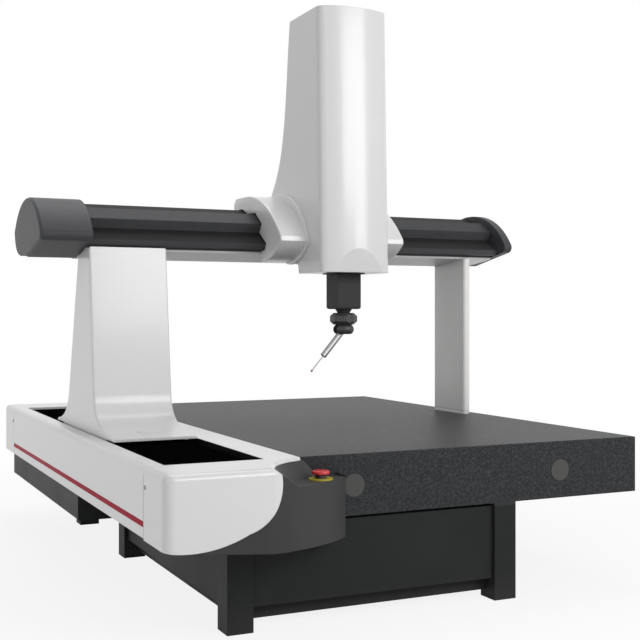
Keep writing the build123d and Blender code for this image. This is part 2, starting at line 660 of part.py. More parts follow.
helmet = outline(
    below_top(HELMET_NOSE),
    (below_top(HELMET_BROW), below_top(HELMET_CROWN)),
    (below_top(HELMET_REAR), below_top(HELMET_BACK)),
    (below_top(HELMET_NAPE), (HELMET_TAIL[0], BEAM_BOTTOM + HELMET_TAIL[1])),
    (HELMET_CHIN_Y, BEAM_BOTTOM),
)


def end_cap(x0, x1):
    cap = along_x(helmet, x0, x1)
    return fillet(cap.edges().filter_by(Axis.X).sort_by(Axis.Y)[0], HELMET_NOSE_R)


left_cap = end_cap(-BEAM_HALF_LENGTH, beam_x[0])
right_cap = end_cap(beam_x[1], BEAM_HALF_LENGTH)
PARTS["left_end_cap"] = fillet(left_cap.faces().sort_by(Axis.X)[0].edges(), CAP_EDGE_R)
PARTS["right_end_cap"] = fillet(right_cap.faces().sort_by(Axis.X)[-1].edges(), CAP_EDGE_R)

# Left leg: column that leans in to the top and sweeps out into the foot, front and back
foot_top = foot_z + FOOT_EDGE
flare_top = foot_top + FLARE_HEIGHT
front_low = (COLUMN_FRONT_LOW, flare_top)
rear_low = (COLUMN_REAR_LOW, flare_top)
front_top = (COLUMN_FRONT_TOP, sole_z(COLUMN_FRONT_TOP))
rear_top = (COLUMN_REAR_TOP, sole_z(COLUMN_REAR_TOP))


def lean(low, top):
    return (top[0] - low[0], top[1] - low[1])


front_run = [(1, FOOT_SLOPE), lean(front_low, front_top)]
rear_run = [lean(rear_top, rear_low), (1, -FOOT_SLOPE)]
front_flare = Spline((FOOT_FRONT, foot_top), front_low, tangents=front_run)
rear_flare = Spline(rear_low, (FOOT_REAR, foot_top), tangents=rear_run)
leg_face = make_face([
    Line((FOOT_REAR, foot_z), (FOOT_FRONT, foot_z)),
    Line((FOOT_FRONT, foot_z), (FOOT_FRONT, foot_top)),
    front_flare,
    Line(front_low, front_top),
    Line(front_top, rear_top),
    Line(rear_top, rear_low),
    rear_flare,
    Line((FOOT_REAR, foot_top), (FOOT_REAR, foot_z)),
])
leg = along_x(leg_face, LEG_X0, LEG_X1)
leg_sides = leg.faces().sort_by(Axis.X)[0].edges() + leg.faces().sort_by(Axis.X)[-1].edges()
leg = fillet([edge for edge in leg_sides if foot_top < edge.center().Z < front_top[1] - 1], LEG_EDGE_R)
cap_plan = Pos(FOOT_CAP_X, FOOT_CAP_Y) * Ellipse(FOOT_CAP_RX, FOOT_CAP_RY)
cap_hole = along_z(cap_plan, foot_z + FOOT_EDGE / 2, flare_top)
PARTS["foot_cap"] = Pos(0, 0, FOOT_CAP_PROUD) * (leg & cap_hole)
PARTS["bridge_leg"] = leg - cap_hole

# Right post: rounded slab on its own air pad, cut to the slope of the sole
post_mid = ((POST_X0 + POST_X1) / 2, (POST_Y0 + POST_Y1) / 2)
post_plan = Pos(*post_mid) * RectangleRounded(POST_X1 - POST_X0, POST_Y1 - POST_Y0, POST_CORNER_R)
post_z = TABLE_Z + AIR_GAP + POST_PAD
post_side = outline(
    (POST_Y0, post_z),
    (POST_Y0, sole_z(POST_Y0)),
    (BEAM_SOLE_FLAT, BEAM_BOTTOM),
    (POST_Y1, BEAM_BOTTOM),
    (POST_Y1, post_z),
)
below_sole = along_x(post_side, POST_X0, POST_X1)
PARTS["right_post"] = along_z(post_plan, post_z, BEAM_TOP) & below_sole
PARTS["right_pad"] = along_z(post_plan, TABLE_Z + AIR_GAP, post_z)

# Carriage collars: helmet-shaped sleeves round the beam, open underneath, flanged at the tower
bore_low = BEAM_BOTTOM + COLLAR_OPEN
lip = (COLLAR_LIP[0], BEAM_BOTTOM - COLLAR_LIP[1])
collar_chin = (COLLAR_CHIN[0], BEAM_BOTTOM + COLLAR_CHIN[1])
collar_face = outline(
    below_top(COLLAR_PEAK),
    (below_top(COLLAR_BROW), below_top(COLLAR_CROWN)),
    below_top(COLLAR_RIDGE),
    below_top(COLLAR_BACK),
    (COLLAR_BACK[0], bore_low),
    (COLLAR_LIP_REAR, bore_low),
    lip,
    (collar_chin, below_top(COLLAR_PEAK)),
)
bore_face = offset(beam_section, amount=COLLAR_GAP, kind=Kind.INTERSECTION)
tower_x = (TOWER_X - TOWER_WIDTH / 2, TOWER_X + TOWER_WIDTH / 2)
beam_bore = along_x(bore_face, *beam_x)


def collar(free_end, tower_end):
    """Sleeve with a rounded crease and rim; a hollow round runs out to the side of the tower."""
    sleeve = along_x(collar_face, min(free_end, tower_end), max(free_end, tower_end))
    crease = sleeve.edges().filter_by(Axis.X).sort_by(Axis.Y)[0]
    sleeve = fillet(crease, COLLAR_PEAK_R)
    rim = [edge for edge in sleeve.edges() if abs(edge.center().X - free_end) < 1]
    rim = [edge for edge in rim if edge.center().Y < COLLAR_CROWN[0] and edge.center().Z > bore_low]
    sleeve = fillet(rim, COLLAR_RIM_R)
    outward = 1 if tower_end > free_end else -1
    wall_x = sorted((tower_end, tower_end + outward * TOWER_WALL))
    wall = block(wall_x, (TOWER_FRONT_LOW, COLLAR_BACK[0] + FAIRING_R), (TOWER_BOTTOM, TOWER_TOP))
    joined = sleeve + wall
    foot = [edge for edge in joined.edges() if abs(edge.center().X - tower_end) < 1]
    foot = [edge for edge in foot if TOWER_FRONT_LOW < edge.center().Y < COLLAR_CROWN[0]]
    foot = [edge for edge in foot if BEAM_BOTTOM < edge.center().Z < BEAM_TOP]
    foot = [edge for edge in foot if edge.center().Y < COLLAR_LIP[0] or edge.center().Z > bore_low]
    return fillet(foot, FAIRING_R) - wall - beam_bore


PARTS["left_collar"] = collar(COLLAR_LEFT, tower_x[0])
PARTS["right_collar"] = collar(COLLAR_RIGHT, tower_x[1])

# Tower: tall hood with a convex front, a back that sweeps out over the beam and a flat facet low in front


def tower_plan(front, inset):
    x0 = tower_x[0] + inset
    x1 = tower_x[1] - inset
    y = front + inset
    back = TOWER_BACK_LOW + inset
    plan = outline((x0, back), (x0, y), ((TOWER_X, y - TOWER_BULGE), (x1, y)), (x1, back))
    return fillet(plan.vertices().sort_by(Axis.Y)[:2], TOWER_CORNER_R - inset)


def tower_hood(inset):
    low = Plane.XY.offset(TOWER_BOTTOM) * tower_plan(TOWER_FRONT_LOW, inset)
    high = Plane.XY.offset(TOWER_TOP - inset) * tower_plan(TOWER_FRONT_TOP, inset)
    return loft([low, high])


def tower_side(inset):
    top = TOWER_TOP - inset
    back_top = (TOWER_BACK_TOP - inset, top)
    back_low = (TOWER_BACK_LOW - inset, TOWER_FLARE_Z)
    sweep = Spline(back_top, *[(y - inset, z) for y, z in TOWER_BACK_CURVE], back_low)
    far = TOWER_FRONT_LOW - TOWER_BULGE * 2
    corners = [
        back_low,
        (TOWER_BACK_LOW + inset, TOWER_FLARE_Z - TOWER_STEP),
        (TOWER_BACK_LOW + inset, bore_low),
        (COLLAR_LIP_REAR, bore_low),
        lip,
        (TOWER_CHIN[0], BEAM_BOTTOM - TOWER_CHIN[1]),
        (TOWER_SOLE_REAR, TOWER_BOTTOM),
        (far, TOWER_BOTTOM),
        (far, top),
        back_top,
    ]
    straight = [Line(a, b) for a, b in zip(corners, corners[1:])]
    return along_x(make_face([sweep, *straight]), tower_x[0] + inset, tower_x[1] - inset)


facet_front = TOWER_FRONT_LOW - TOWER_BULGE
facet_side = outline(
    (facet_front - FACET_MARGIN, FACET_TOP),
    (facet_front, FACET_TOP),
    (facet_front + FACET_DEPTH, TOWER_BOTTOM),
    (facet_front - FACET_MARGIN, TOWER_BOTTOM),
)
facet_cut = along_x(facet_side, *tower_x)
tower = (tower_hood(0) & tower_side(0)) - facet_cut
cavity = tower_hood(TOWER_WALL) & tower_side(TOWER_WALL)
cavity -= Pos(0, TOWER_WALL, 0) * facet_cut
PARTS["tower_hood"] = tower - cavity - beam_bore

# Bottom plate of the tower, with the hole that the quill passes through
quill_half = QUILL_SIZE / 2
quill_x = (TOWER_X - quill_half, TOWER_X + quill_half)
quill_y = (QUILL_Y - quill_half, QUILL_Y + quill_half)
plate_slab = block(tower_x, (facet_front, TOWER_SOLE_REAR), (TOWER_BOTTOM, TOWER_BOTTOM + TOWER_WALL))
quill_hole = block(
    (quill_x[0] - COLLAR_GAP, quill_x[1] + COLLAR_GAP),
    (quill_y[0] - COLLAR_GAP, quill_y[1] + COLLAR_GAP),
    (TOWER_BOTTOM, TOWER_BOTTOM + TOWER_WALL),
)
PARTS["tower_bottom_plate"] = (cavity & plate_slab) - quill_hole

# Carriage frame: casting over the beam with one arm below it, on flat air pads
frame_x = (tower_x[0] + TOWER_WALL, tower_x[1] - TOWER_WALL)
frame_front = quill_y[1] + GUIDE_BACK + SPINE_THICK
frame_rear = BEAM_REAR + X_PAD + FRAME_REAR_WALL
frame_top = BEAM_TOP + X_PAD + FRAME_TOP_WALL
arm_x = (TOWER_X + ARM_OFFSET, frame_x[1])
arm_low = BEAM_BOTTOM - X_PAD - FRAME_WALL
frame_face = outline(
    (frame_front, bore_low),
    (frame_front, BEAM_TOP - FRAME_SHOULDER_DROP),
    (FRAME_SHOULDER_Y, frame_top),
    (frame_rear, frame_top),
    (frame_rear, bore_low),
)
tunnel = along_x(offset(beam_section, amount=X_PAD + AIR_GAP, kind=Kind.INTERSECTION), *frame_x)
frame = along_x(frame_face, *frame_x)
frame += block(arm_x, (frame_front, frame_rear), (arm_low, bore_low))
PARTS["carriage_frame"] = frame - tunnel

pad_starts = (frame_x[0] + X_PAD_INSET, frame_x[1] - X_PAD_INSET - X_PAD_LENGTH)
pad_spots = [(start, start + X_PAD_LENGTH) for start in pad_starts]
top_pad_y = (BEAM_REAR - TOP_PAD_WIDTH, BEAM_REAR - TRACK_THICK)
rear_pad_y = (BEAM_REAR + AIR_GAP, BEAM_REAR + AIR_GAP + X_PAD)
rear_pad_low = BEAM_BOTTOM + REAR_PAD_RISE
rear_pad_z = (rear_pad_low, rear_pad_low + REAR_PAD_HEIGHT)
x_pads = [block(spot, top_pad_y, (BEAM_TOP + AIR_GAP, BEAM_TOP + AIR_GAP + X_PAD)) for spot in pad_spots]
x_pads += [block(spot, rear_pad_y, rear_pad_z) for spot in pad_spots]
x_pads.append(block(
    (arm_x[0] + FRAME_WALL, arm_x[1] - FRAME_WALL),
    (BEAM_SOLE_FLAT, BEAM_REAR),
    (BEAM_BOTTOM - AIR_GAP - X_PAD, BEAM_BOTTOM - AIR_GAP),
))
PARTS["x_bearing_pads"] = x_pads
PARTS["x_motor_coil"] = block(
    (TOWER_X - TRACK_WIDTH, TOWER_X + TRACK_WIDTH),
    (BEAM_REAR + COIL_GAP, BEAM_REAR + AIR_GAP + X_PAD),
    (track_z[0] + SCALE_THICK, track_z[1] - SCALE_THICK),
)
rear_shell = outline(
    (TOWER_BACK_LOW + TOWER_WALL, frame_top),
    (frame_rear, frame_top),
    (frame_rear, bore_low),
    (frame_rear + TOWER_WALL, bore_low),
    (frame_rear + TOWER_WALL, frame_top + TOWER_WALL),
    (TOWER_BACK_LOW + TOWER_WALL, frame_top + TOWER_WALL),
)
PARTS["carriage_rear_cover"] = along_x(rear_shell, *tower_x)

# Spine with two guides for the quill; each guide is open behind for the magnet track
guide_half_width = quill_half + AIR_GAP + Z_GUIDE_WALL
guide_back = quill_y[1] + GUIDE_BACK
spine_y = (guide_back, guide_back + SPINE_THICK)
balance_x = TOWER_X + BALANCE_X
spine_x = (TOWER_X - guide_half_width, balance_x + BALANCE_R)
slot_half = TRACK_WIDTH / 2 + TRACK_MARGIN
lower_guide_z = TOWER_BOTTOM + TOWER_WALL


def z_guide(z0):
    ring = block(
        (TOWER_X - guide_half_width, TOWER_X + guide_half_width),
        (quill_y[0] - AIR_GAP - Z_GUIDE_WALL, guide_back),
        (z0, z0 + Z_GUIDE_HEIGHT),
    )
    hole = block(
        (quill_x[0] - AIR_GAP, quill_x[1] + AIR_GAP),
        (quill_y[0] - AIR_GAP, quill_y[1] + AIR_GAP),
        (z0, z0 + Z_GUIDE_HEIGHT),
    )
    slot_x = (TOWER_X - slot_half, TOWER_X + slot_half)
    slot = block(slot_x, (QUILL_Y, guide_back), (z0, z0 + Z_GUIDE_HEIGHT))
    return ring - hole - slot


PARTS["z_guides"] = [z_guide(lower_guide_z), z_guide(UPPER_GUIDE_Z)]
z_track_y = (quill_y[1], quill_y[1] + TRACK_THICK)
quill_top = QUILL_BOTTOM + QUILL_LENGTH
balance_top = quill_top - QUILL_DOWN - BALANCE_MARGIN
spine = block(spine_x, spine_y, (lower_guide_z, balance_top))
z_track_low = lower_guide_z + Z_GUIDE_HEIGHT + QUILL_DOWN
PARTS["z_motor_coil"] = block(
    (TOWER_X - TRACK_WIDTH / 2, TOWER_X + TRACK_WIDTH / 2),
    (z_track_y[1] + COIL_GAP, guide_back),
    (UPPER_GUIDE_Z + Z_GUIDE_HEIGHT, UPPER_GUIDE_Z + Z_GUIDE_HEIGHT * 2),
)

# Counterbalance: air cylinder on a bracket of the spine, its rod hangs from the crosshead of the quill
bracket_y = (QUILL_Y - BALANCE_R, guide_back)
bracket_z = (BALANCE_BOTTOM - FRAME_WALL, BALANCE_BOTTOM)
PARTS["z_spine"] = spine + block((balance_x - BALANCE_R, balance_x + BALANCE_R), bracket_y, bracket_z)
PARTS["balance_cylinder"] = disc(BALANCE_R, BALANCE_BOTTOM, balance_top, balance_x, QUILL_Y) - disc(
    BALANCE_ROD_R + ROD_FIT, BALANCE_BOTTOM + FRAME_WALL, balance_top, balance_x, QUILL_Y
)
rod_low = BALANCE_BOTTOM + ROD_START + QUILL_DOWN
PARTS["balance_rod"] = disc(BALANCE_ROD_R, rod_low, quill_top, balance_x, QUILL_Y)

# Quill: square tube with an end plate, magnet track behind, crosshead on top
tube_low = QUILL_BOTTOM + QUILL_WALL
PARTS["quill"] = square_tube(QUILL_SIZE, QUILL_WALL, TOWER_X, QUILL_Y, tube_low, quill_top)
end_plate = block(quill_x, quill_y, (QUILL_BOTTOM, tube_low))
end_plate = fillet(end_plate.faces().sort_by(Axis.Z)[0].edges(), QUILL_EDGE_R)
neck_low = QUILL_BOTTOM - NECK_HEIGHT
neck = Pos(TOWER_X, QUILL_Y, (neck_low + QUILL_BOTTOM) / 2) * Cone(NECK_WAIST_R, NECK_R, NECK_HEIGHT)
PARTS["quill_end_plate"] = end_plate + neck
PARTS["z_magnet_track"] = block(
    (TOWER_X - TRACK_WIDTH / 2, TOWER_X + TRACK_WIDTH / 2), z_track_y, (z_track_low, quill_top)
)
PARTS["quill_crosshead"] = block(
    (quill_x[0], balance_x + BALANCE_R), quill_y, (quill_top, quill_top + CROSSHEAD_THICK)
)

# Indexing head: eight-sided body on the neck of the end plate, turning knuckle ball under it
head_low = neck_low - HEAD_HEIGHT
octagon = Pos(TOWER_X, QUILL_Y) * RegularPolygon(
    HEAD_ACROSS / 2, HEAD_SIDES, major_radius=False, rotation=180 / HEAD_SIDES
)
head = along_z(octagon, head_low, neck_low)
head_rims = head.faces().sort_by(Axis.Z)[-1].edges() + head.faces().sort_by(Axis.Z)[0].edges()
head = chamfer(head_rims, HEAD_BEVEL)
dial_turn = Pos(TOWER_X, QUILL_Y - HEAD_ACROSS / 2, (head_low + neck_low) / 2) * Rot(90, 0, 0)
head += dial_turn * Cylinder(DIAL_R, DIAL_PROUD * 2)
head -= dial_turn * Pos(0, 0, DIAL_PROUD) * Cylinder(DIAL_PIT_R, DIAL_PROUD)
spigot_top = head_low + SPIGOT_HEIGHT
PARTS["head_body"] = head - disc(SPIGOT_R + SPIGOT_FIT, head_low, spigot_top, TOWER_X, QUILL_Y)

rotor_top = head_low - ROTOR_GAP
rotor_low = rotor_top - ROTOR_HEIGHT
pivot_z = rotor_top - ROTOR_HEIGHT / 2
rotor_face = outline(
    (0.0, rotor_low),
    (ROTOR_LOW_R, rotor_low),
    ((ROTOR_R, pivot_z), (ROTOR_TOP_R, rotor_top)),
    (SPIGOT_R, rotor_top),
    (SPIGOT_R, spigot_top - ROTOR_GAP),
    (0.0, spigot_top - ROTOR_GAP),
)
rotor = Pos(TOWER_X, QUILL_Y) * revolve(Plane.XZ * rotor_face, Axis.Z)
slot_side = KNUCKLE_WIDTH / 2 + KNUCKLE_SIDE_GAP
knuckle_room = KNUCKLE_R + KNUCKLE_ROOM
rotor -= block(
    (TOWER_X - ROTOR_SLOT, TOWER_X + knuckle_room),
    (QUILL_Y - slot_side, QUILL_Y + slot_side),
    (rotor_low, pivot_z + knuckle_room),
)
pivot = Pos(TOWER_X, QUILL_Y, pivot_z) * Rot(90, 0, 0)
pin_length = KNUCKLE_WIDTH + PIN_REACH * 2
rotor -= pivot * Cylinder(PIN_R, pin_length)
PARTS["head_rotor"] = rotor
PARTS["tilt_pin"] = pivot * Cylinder(PIN_R, pin_length)

# Probe: knuckle on the tilt pin, probe body, stylus and ruby ball in line
aim = Pos(TOWER_X, QUILL_Y, pivot_z) * Rot(0, TILT_DEG, 0)


def probe_disc(radius, start, end):
    return aim * disc(radius, -end, -start, 0, 0)


boss_end = KNUCKLE_R + BOSS_LENGTH
body_end = boss_end + PROBE_LENGTH - KNUCKLE_R
knuckle = pivot * Cylinder(KNUCKLE_R, KNUCKLE_WIDTH) + probe_disc(PROBE_R, 0, boss_end)
PARTS["probe_knuckle"] = knuckle - pivot * Cylinder(PIN_R + PIN_FIT, KNUCKLE_WIDTH)
PARTS["probe_body"] = probe_disc(PROBE_R, boss_end, body_end)
stem_end = body_end + STYLUS_LENGTH
stem = probe_disc(STYLUS_R, body_end, stem_end)
PARTS["stylus"] = stem
ball_aim = aim * Pos(0, 0, -stem_end - BALL_R + STYLUS_R)
PARTS["ruby_ball"] = ball_aim * Sphere(BALL_R) - stem

os.makedirs("parts", exist_ok=True)
for name, shape in PARTS.items():
    pieces = shape if isinstance(shape, list) else [shape]
    node = Compound(children=[solid for piece in pieces for solid in piece.solids()], label=name)
    export_step(node, f"parts/{name}.step")
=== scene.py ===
from math import atan2, cos, pi, radians, sin

import bmesh
import bpy
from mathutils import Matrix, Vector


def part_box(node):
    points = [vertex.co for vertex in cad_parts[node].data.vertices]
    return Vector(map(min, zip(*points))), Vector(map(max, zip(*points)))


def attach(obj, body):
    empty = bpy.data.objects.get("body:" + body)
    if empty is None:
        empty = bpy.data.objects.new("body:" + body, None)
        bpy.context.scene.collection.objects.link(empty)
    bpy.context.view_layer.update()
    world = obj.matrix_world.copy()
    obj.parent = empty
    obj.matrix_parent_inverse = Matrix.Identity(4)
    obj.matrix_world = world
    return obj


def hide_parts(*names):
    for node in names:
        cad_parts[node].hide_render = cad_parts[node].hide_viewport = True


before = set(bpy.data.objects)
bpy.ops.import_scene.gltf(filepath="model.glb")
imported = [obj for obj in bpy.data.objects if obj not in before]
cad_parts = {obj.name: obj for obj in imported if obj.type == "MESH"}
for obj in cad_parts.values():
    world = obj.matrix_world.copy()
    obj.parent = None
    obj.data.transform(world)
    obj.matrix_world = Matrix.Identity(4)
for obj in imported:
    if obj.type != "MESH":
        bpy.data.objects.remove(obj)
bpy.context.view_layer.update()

# Stand: square steel tubes on foot plates with folded sheet panels between them, welded and
# powder coated in a dark green-grey. The coat has a fine orange peel and gathers dust near the floor.


class Value:
    """A socket in a node tree; arithmetic on it adds Math nodes."""

    def __init__(self, nodes, socket):
        self.nodes = nodes
        self.socket = socket

    def math(self, operation, first, second):
        return self.nodes.node("ShaderNodeMath", {"operation": operation}, {0: first, 1: second})

    def __add__(self, other):
        return self.math("ADD", self, other)

    def __radd__(self, other):
        return self.math("ADD", other, self)

    def __sub__(self, other):
        return self.math("SUBTRACT", self, other)

    def __rsub__(self, other):
        return self.math("SUBTRACT", other, self)

    def __mul__(self, other):
        return self.math("MULTIPLY", self, other)

    def __rmul__(self, other):
        return self.math("MULTIPLY", other, self)

    def __truediv__(self, other):
        return self.math("DIVIDE", self, other)

    def __gt__(self, other):
        return self.math("GREATER_THAN", self, other)

    def __lt__(self, other):
        return self.math("LESS_THAN", self, other)


class Nodes:
    """One node tree, and the node in it that the others feed."""

    def __init__(self, tree, shader):
        self.tree = tree
        self.shader = tree.nodes[shader]

    def node(self, kind, settings, inputs, output=0):
        """Adds a node, makes its settings, fills its sockets and returns one output."""
        node = self.tree.nodes.new(kind)
        for setting, value in settings.items():
            if setting == "stops":
                ramp = node.color_ramp.elements
                while len(ramp) < len(value):
                    ramp.new(1.0)
                for stop, (position, colour) in zip(ramp, value):
                    stop.position = position
                    stop.color = colour
            else:
                setattr(node, setting, value)
        for socket, value in inputs.items():
            if isinstance(value, Value):
                self.tree.links.new(value.socket, node.inputs[socket])
            else:
                node.inputs[socket].default_value = value
        return Value(self, node.outputs[output])

    def clamp(self, value):
        return self.node("ShaderNodeClamp", {}, {"Value": value})

    def feed(self, socket, value):
        self.tree.links.new(value.socket, self.shader.inputs[socket])


class Finish(Nodes):
    """A surface finish: one material built from nodes on Object coordinates."""

    def __init__(self, name, **surface):
        self.material = bpy.data.materials.new(name)
        self.material.use_nodes = True
        super().__init__(self.material.node_tree, "Principled BSDF")
        self.place = self.node("ShaderNodeTexCoord", {}, {}, "Object")
        for socket, value in surface.items():
            self.shader.inputs[socket.replace("_", " ")].default_value = value

    def stretch(self, scale):
        return self.node("ShaderNodeMapping", {}, {"Vector": self.place, "Scale": scale})

    def noise(self, scale, detail=2.0, place=None):
        inputs = {"Vector": place or self.place, "Scale": scale, "Detail": detail}
        return self.node("ShaderNodeTexNoise", {}, inputs)

    def axis(self, name):
        return self.node("ShaderNodeSeparateXYZ", {}, {0: self.place}, name)

    def band(self, value, low, high):
        return (value > low) * (value < high)

    def tint(self, factor, first, second):
        return self.node("ShaderNodeMix", {"data_type": "RGBA"}, {0: factor, 6: first, 7: second}, 2)

    def mottle(self, grain, first, second, rough, swing):
        """Colour and roughness that follow one grain."""
        self.feed("Base Color", self.tint(grain, first, second))
        self.feed("Roughness", rough + grain * swing)

    def relief(self, height, distance, strength=1.0, edge=0.0):
        """Bump from a height; edge rounds the look of sharp corners by that radius."""
        inputs = {"Height": height, "Distance": distance, "Strength": strength}
        if edge:
            inputs["Normal"] = self.node("ShaderNodeBevel", {"samples": 4}, {"Radius": edge})
        self.feed("Normal", self.node("ShaderNodeBump", {}, inputs))

    def on(self, *nodes):
        for node in nodes:
            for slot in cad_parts[node].material_slots:
                slot.material = self.material


PAINT_DARK = (0.019, 0.021, 0.020, 1.0)
PAINT_WORN = (0.029, 0.031, 0.030, 1.0)
PAINT_DUST = (0.075, 0.073, 0.068, 1.0)
DUST_HEIGHT = 0.12
stand_paint = Finish("stand_paint", Specular_IOR_Level=0.06)
cloud = stand_paint.noise(3.5, detail=4.0)
peel = stand_paint.noise(420.0)
low_dust = stand_paint.clamp(1 - stand_paint.axis("Z") / DUST_HEIGHT) * cloud
stand_colour = stand_paint.tint(cloud, PAINT_DARK, PAINT_WORN)
stand_paint.feed("Base Color", stand_paint.tint(low_dust * 0.5, stand_colour, PAINT_DUST))
stand_paint.feed("Roughness", 0.38 + cloud * 0.16 + low_dust * 0.2)
stand_paint.relief(peel, distance=0.0004, strength=0.25, edge=0.004)
stand_paint.on("stand_legs", "foot_plates", "top_rails", "front_panel", "side_panels", "skirt_rails")

# Isolators: rubber blocks between the legs and the stone, moulded in one piece, matt with a fine skin.
# They carry the slab and keep the shake of the floor from it.
PAD_BLACK = (0.012, 0.012, 0.013, 1.0)
pad_rubber = Finish("pad_rubber", Base_Color=PAD_BLACK)
skin = pad_rubber.noise(160.0, detail=4.0)
pad_rubber.feed("Roughness", 0.7 + skin * 0.2)
pad_rubber.relief(skin, distance=0.0006, strength=0.4)
pad_rubber.on("isolator_pads")

# Table: a slab of dark granite. The top is lapped to a soft sheen and the sides are ground and duller;
# pale and dark crystals of a few millimetres show on all of it.
STONE_DARK = (0.019, 0.020, 0.021, 1.0)
STONE_MID = (0.031, 0.032, 0.035, 1.0)
STONE_PALE = (0.054, 0.056, 0.060, 1.0)
GRAIN_PER_METRE = 120.0
CRYSTALS_PER_METRE = 192.0
LAPPED_FACING = 0.6
granite = Finish("granite", Specular_IOR_Level=0.12)
grain = granite.noise(GRAIN_PER_METRE, detail=5.0)
crystals = {"Vector": granite.place, "Scale": CRYSTALS_PER_METRE}
cells = granite.node("ShaderNodeTexVoronoi", {}, crystals, "Color")
fleck = granite.node("ShaderNodeSeparateColor", {}, {0: cells}, "Red")
stone = granite.node(
    "ShaderNodeValToRGB",
    {"stops": [(0.32, STONE_DARK), (0.52, STONE_MID), (0.74, STONE_PALE)]},
    {0: grain * 0.7 + fleck * 0.3},
)
facing = granite.node("ShaderNodeNewGeometry", {}, {}, "Normal")
upward = granite.node("ShaderNodeSeparateXYZ", {}, {0: facing}, "Z") > LAPPED_FACING
granite.feed("Base Color", stone)
granite.feed("Roughness", 0.58 - upward * 0.16 + grain * 0.06)
granite.relief(grain, distance=0.0003, strength=0.15, edge=0.003)
granite.on("granite_table")

# Inserts and plugs: turned steel bushes glued into the top, and plain moulded plugs that close
# the two lifting holes in the front face.
INSERT_STEEL = (0.045, 0.045, 0.047, 1.0)
insert_steel = Finish("insert_steel", Base_Color=INSERT_STEEL, Metallic=1.0)
turned = insert_steel.noise(900.0, detail=3.0)
insert_steel.feed("Roughness", 0.28 + turned * 0.2)
insert_steel.relief(turned, distance=0.0001, strength=0.3, edge=0.0008)
insert_steel.on("table_inserts")
PLUG_DARK = (0.052, 0.053, 0.050, 1.0)
PLUG_PALE = (0.066, 0.068, 0.064, 1.0)
plug_plastic = Finish("plug_plastic", Specular_IOR_Level=0.3)
plug_grain = plug_plastic.noise(260.0, detail=4.0)
plug_plastic.mottle(plug_grain, PLUG_DARK, PLUG_PALE, rough=0.48, swing=0.15)
plug_plastic.relief(plug_grain, distance=0.0004, strength=0.3, edge=0.003)
plug_plastic.on("lifting_plugs")

# Painted reflection: a pale steel-coloured strip set into the stone beside the track of the right post,
# along the length of the table.
# It stands in for the post's mirror image in the top; its top is a hair under the stone and its upper edges
# are broken.
REFLECTION_X = 0.975
REFLECTION_HALF = 0.0027
REFLECTION_DEPTH = 0.0028
REFLECTION_SUNK = 0.0001
REFLECTION_END = 0.004
REFLECTION_EDGE = 0.0006
REFLECTION_DULL = (0.46, 0.46, 0.45, 1.0)
REFLECTION_BRIGHT = (0.62, 0.62, 0.61, 1.0)
SMOOTH_ANGLE = radians(35.0)
FACING = 0.9


def begin(name):
    """Names the new primitive, and opens it for edge and face work."""
    piece = bpy.context.object
    piece.name = name
    bpy.ops.object.transform_apply(location=True, rotation=True, scale=True)
    bpy.ops.object.mode_set(mode="EDIT")
    bpy.ops.mesh.select_mode(type="FACE")
    return piece


def pick(piece, test):
    """Selects the faces whose middle and normal pass a test."""
    bpy.ops.mesh.select_all(action="DESELECT")
    mesh = bmesh.from_edit_mesh(piece.data)
    for face in mesh.faces:
        face.select_set(bool(test(face.calc_center_median(), face.normal)))
    bmesh.update_edit_mesh(piece.data)


def settle(piece, finish, body, crisp=SMOOTH_ANGLE):
    """Closes a piece, shades it, gives it its finish and lets it ride on its body."""
    if bpy.context.mode == "EDIT_MESH":
        bpy.ops.mesh.select_all(action="SELECT")
        bpy.ops.mesh.normals_make_consistent(inside=False)
        bpy.ops.object.mode_set(mode="OBJECT")
    bpy.ops.object.shade_smooth_by_angle(angle=crisp)
    piece.data.materials.clear()
    piece.data.materials.append(finish.material)
    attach(piece, body)


# Pale steel colour and streaks of the strip: a painted reflection of the right post in the top of the stone.
post_reflection_paint = Finish("post_reflection_paint", Metallic=0.6)
reflection_streaks = post_reflection_paint.noise(70.0, detail=3.0, place=post_reflection_paint.stretch((9.0, 0.3, 9.0)))
post_reflection_paint.mottle(reflection_streaks, REFLECTION_DULL, REFLECTION_BRIGHT, rough=0.32, swing=0.2)
table_low, table_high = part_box("granite_table")
reflection_size = (2 * REFLECTION_HALF, table_high[1] - table_low[1] - 2 * REFLECTION_END, REFLECTION_DEPTH)
reflection_at = (REFLECTION_X, (table_high[1] + table_low[1]) / 2, table_high[2] - REFLECTION_SUNK - REFLECTION_DEPTH / 2)
bpy.ops.object.select_all(action="DESELECT")
bpy.ops.mesh.primitive_cube_add(size=1.0, location=reflection_at, scale=reflection_size)
post_reflection_strip = begin("post_reflection_strip")
pick(post_reflection_strip, lambda middle, normal: normal.z > FACING)
bpy.ops.mesh.bevel(offset=REFLECTION_EDGE, segments=2, affect="EDGES")
settle(post_reflection_strip, post_reflection_paint, "base")

# Guideway: ground steel bar on the ledge of the stone, with the magnet track of the drive and the
# glass-hard scale beside it. Grinding marks run along its length.
GROUND_DULL = (0.40, 0.41, 0.42, 1.0)
GROUND_BRIGHT = (0.58, 0.58, 0.58, 1.0)
ground_steel = Finish("ground_steel", Metallic=1.0)
along = ground_steel.noise(60.0, detail=3.0, place=ground_steel.stretch((8.0, 0.4, 8.0)))
ground_steel.mottle(along, GROUND_DULL, GROUND_BRIGHT, rough=0.22, swing=0.2)
ground_steel.relief(along, distance=0.0001, strength=0.3, edge=0.001)
ground_steel.on(
    "y_guideway", "y_magnet_track", "y_scale", "x_magnet_track", "x_scale", "z_magnet_track",
    "balance_rod", "tilt_pin"
)

# Covers: thick moulded shells, painted gloss white, hooked under the stone and round the guideway.
# The long outer shell, the inner one and both end caps come from the same spray line.
COVER_WHITE = (0.70, 0.70, 0.71, 1.0)
COVER_WARM = (0.74, 0.738, 0.735, 1.0)


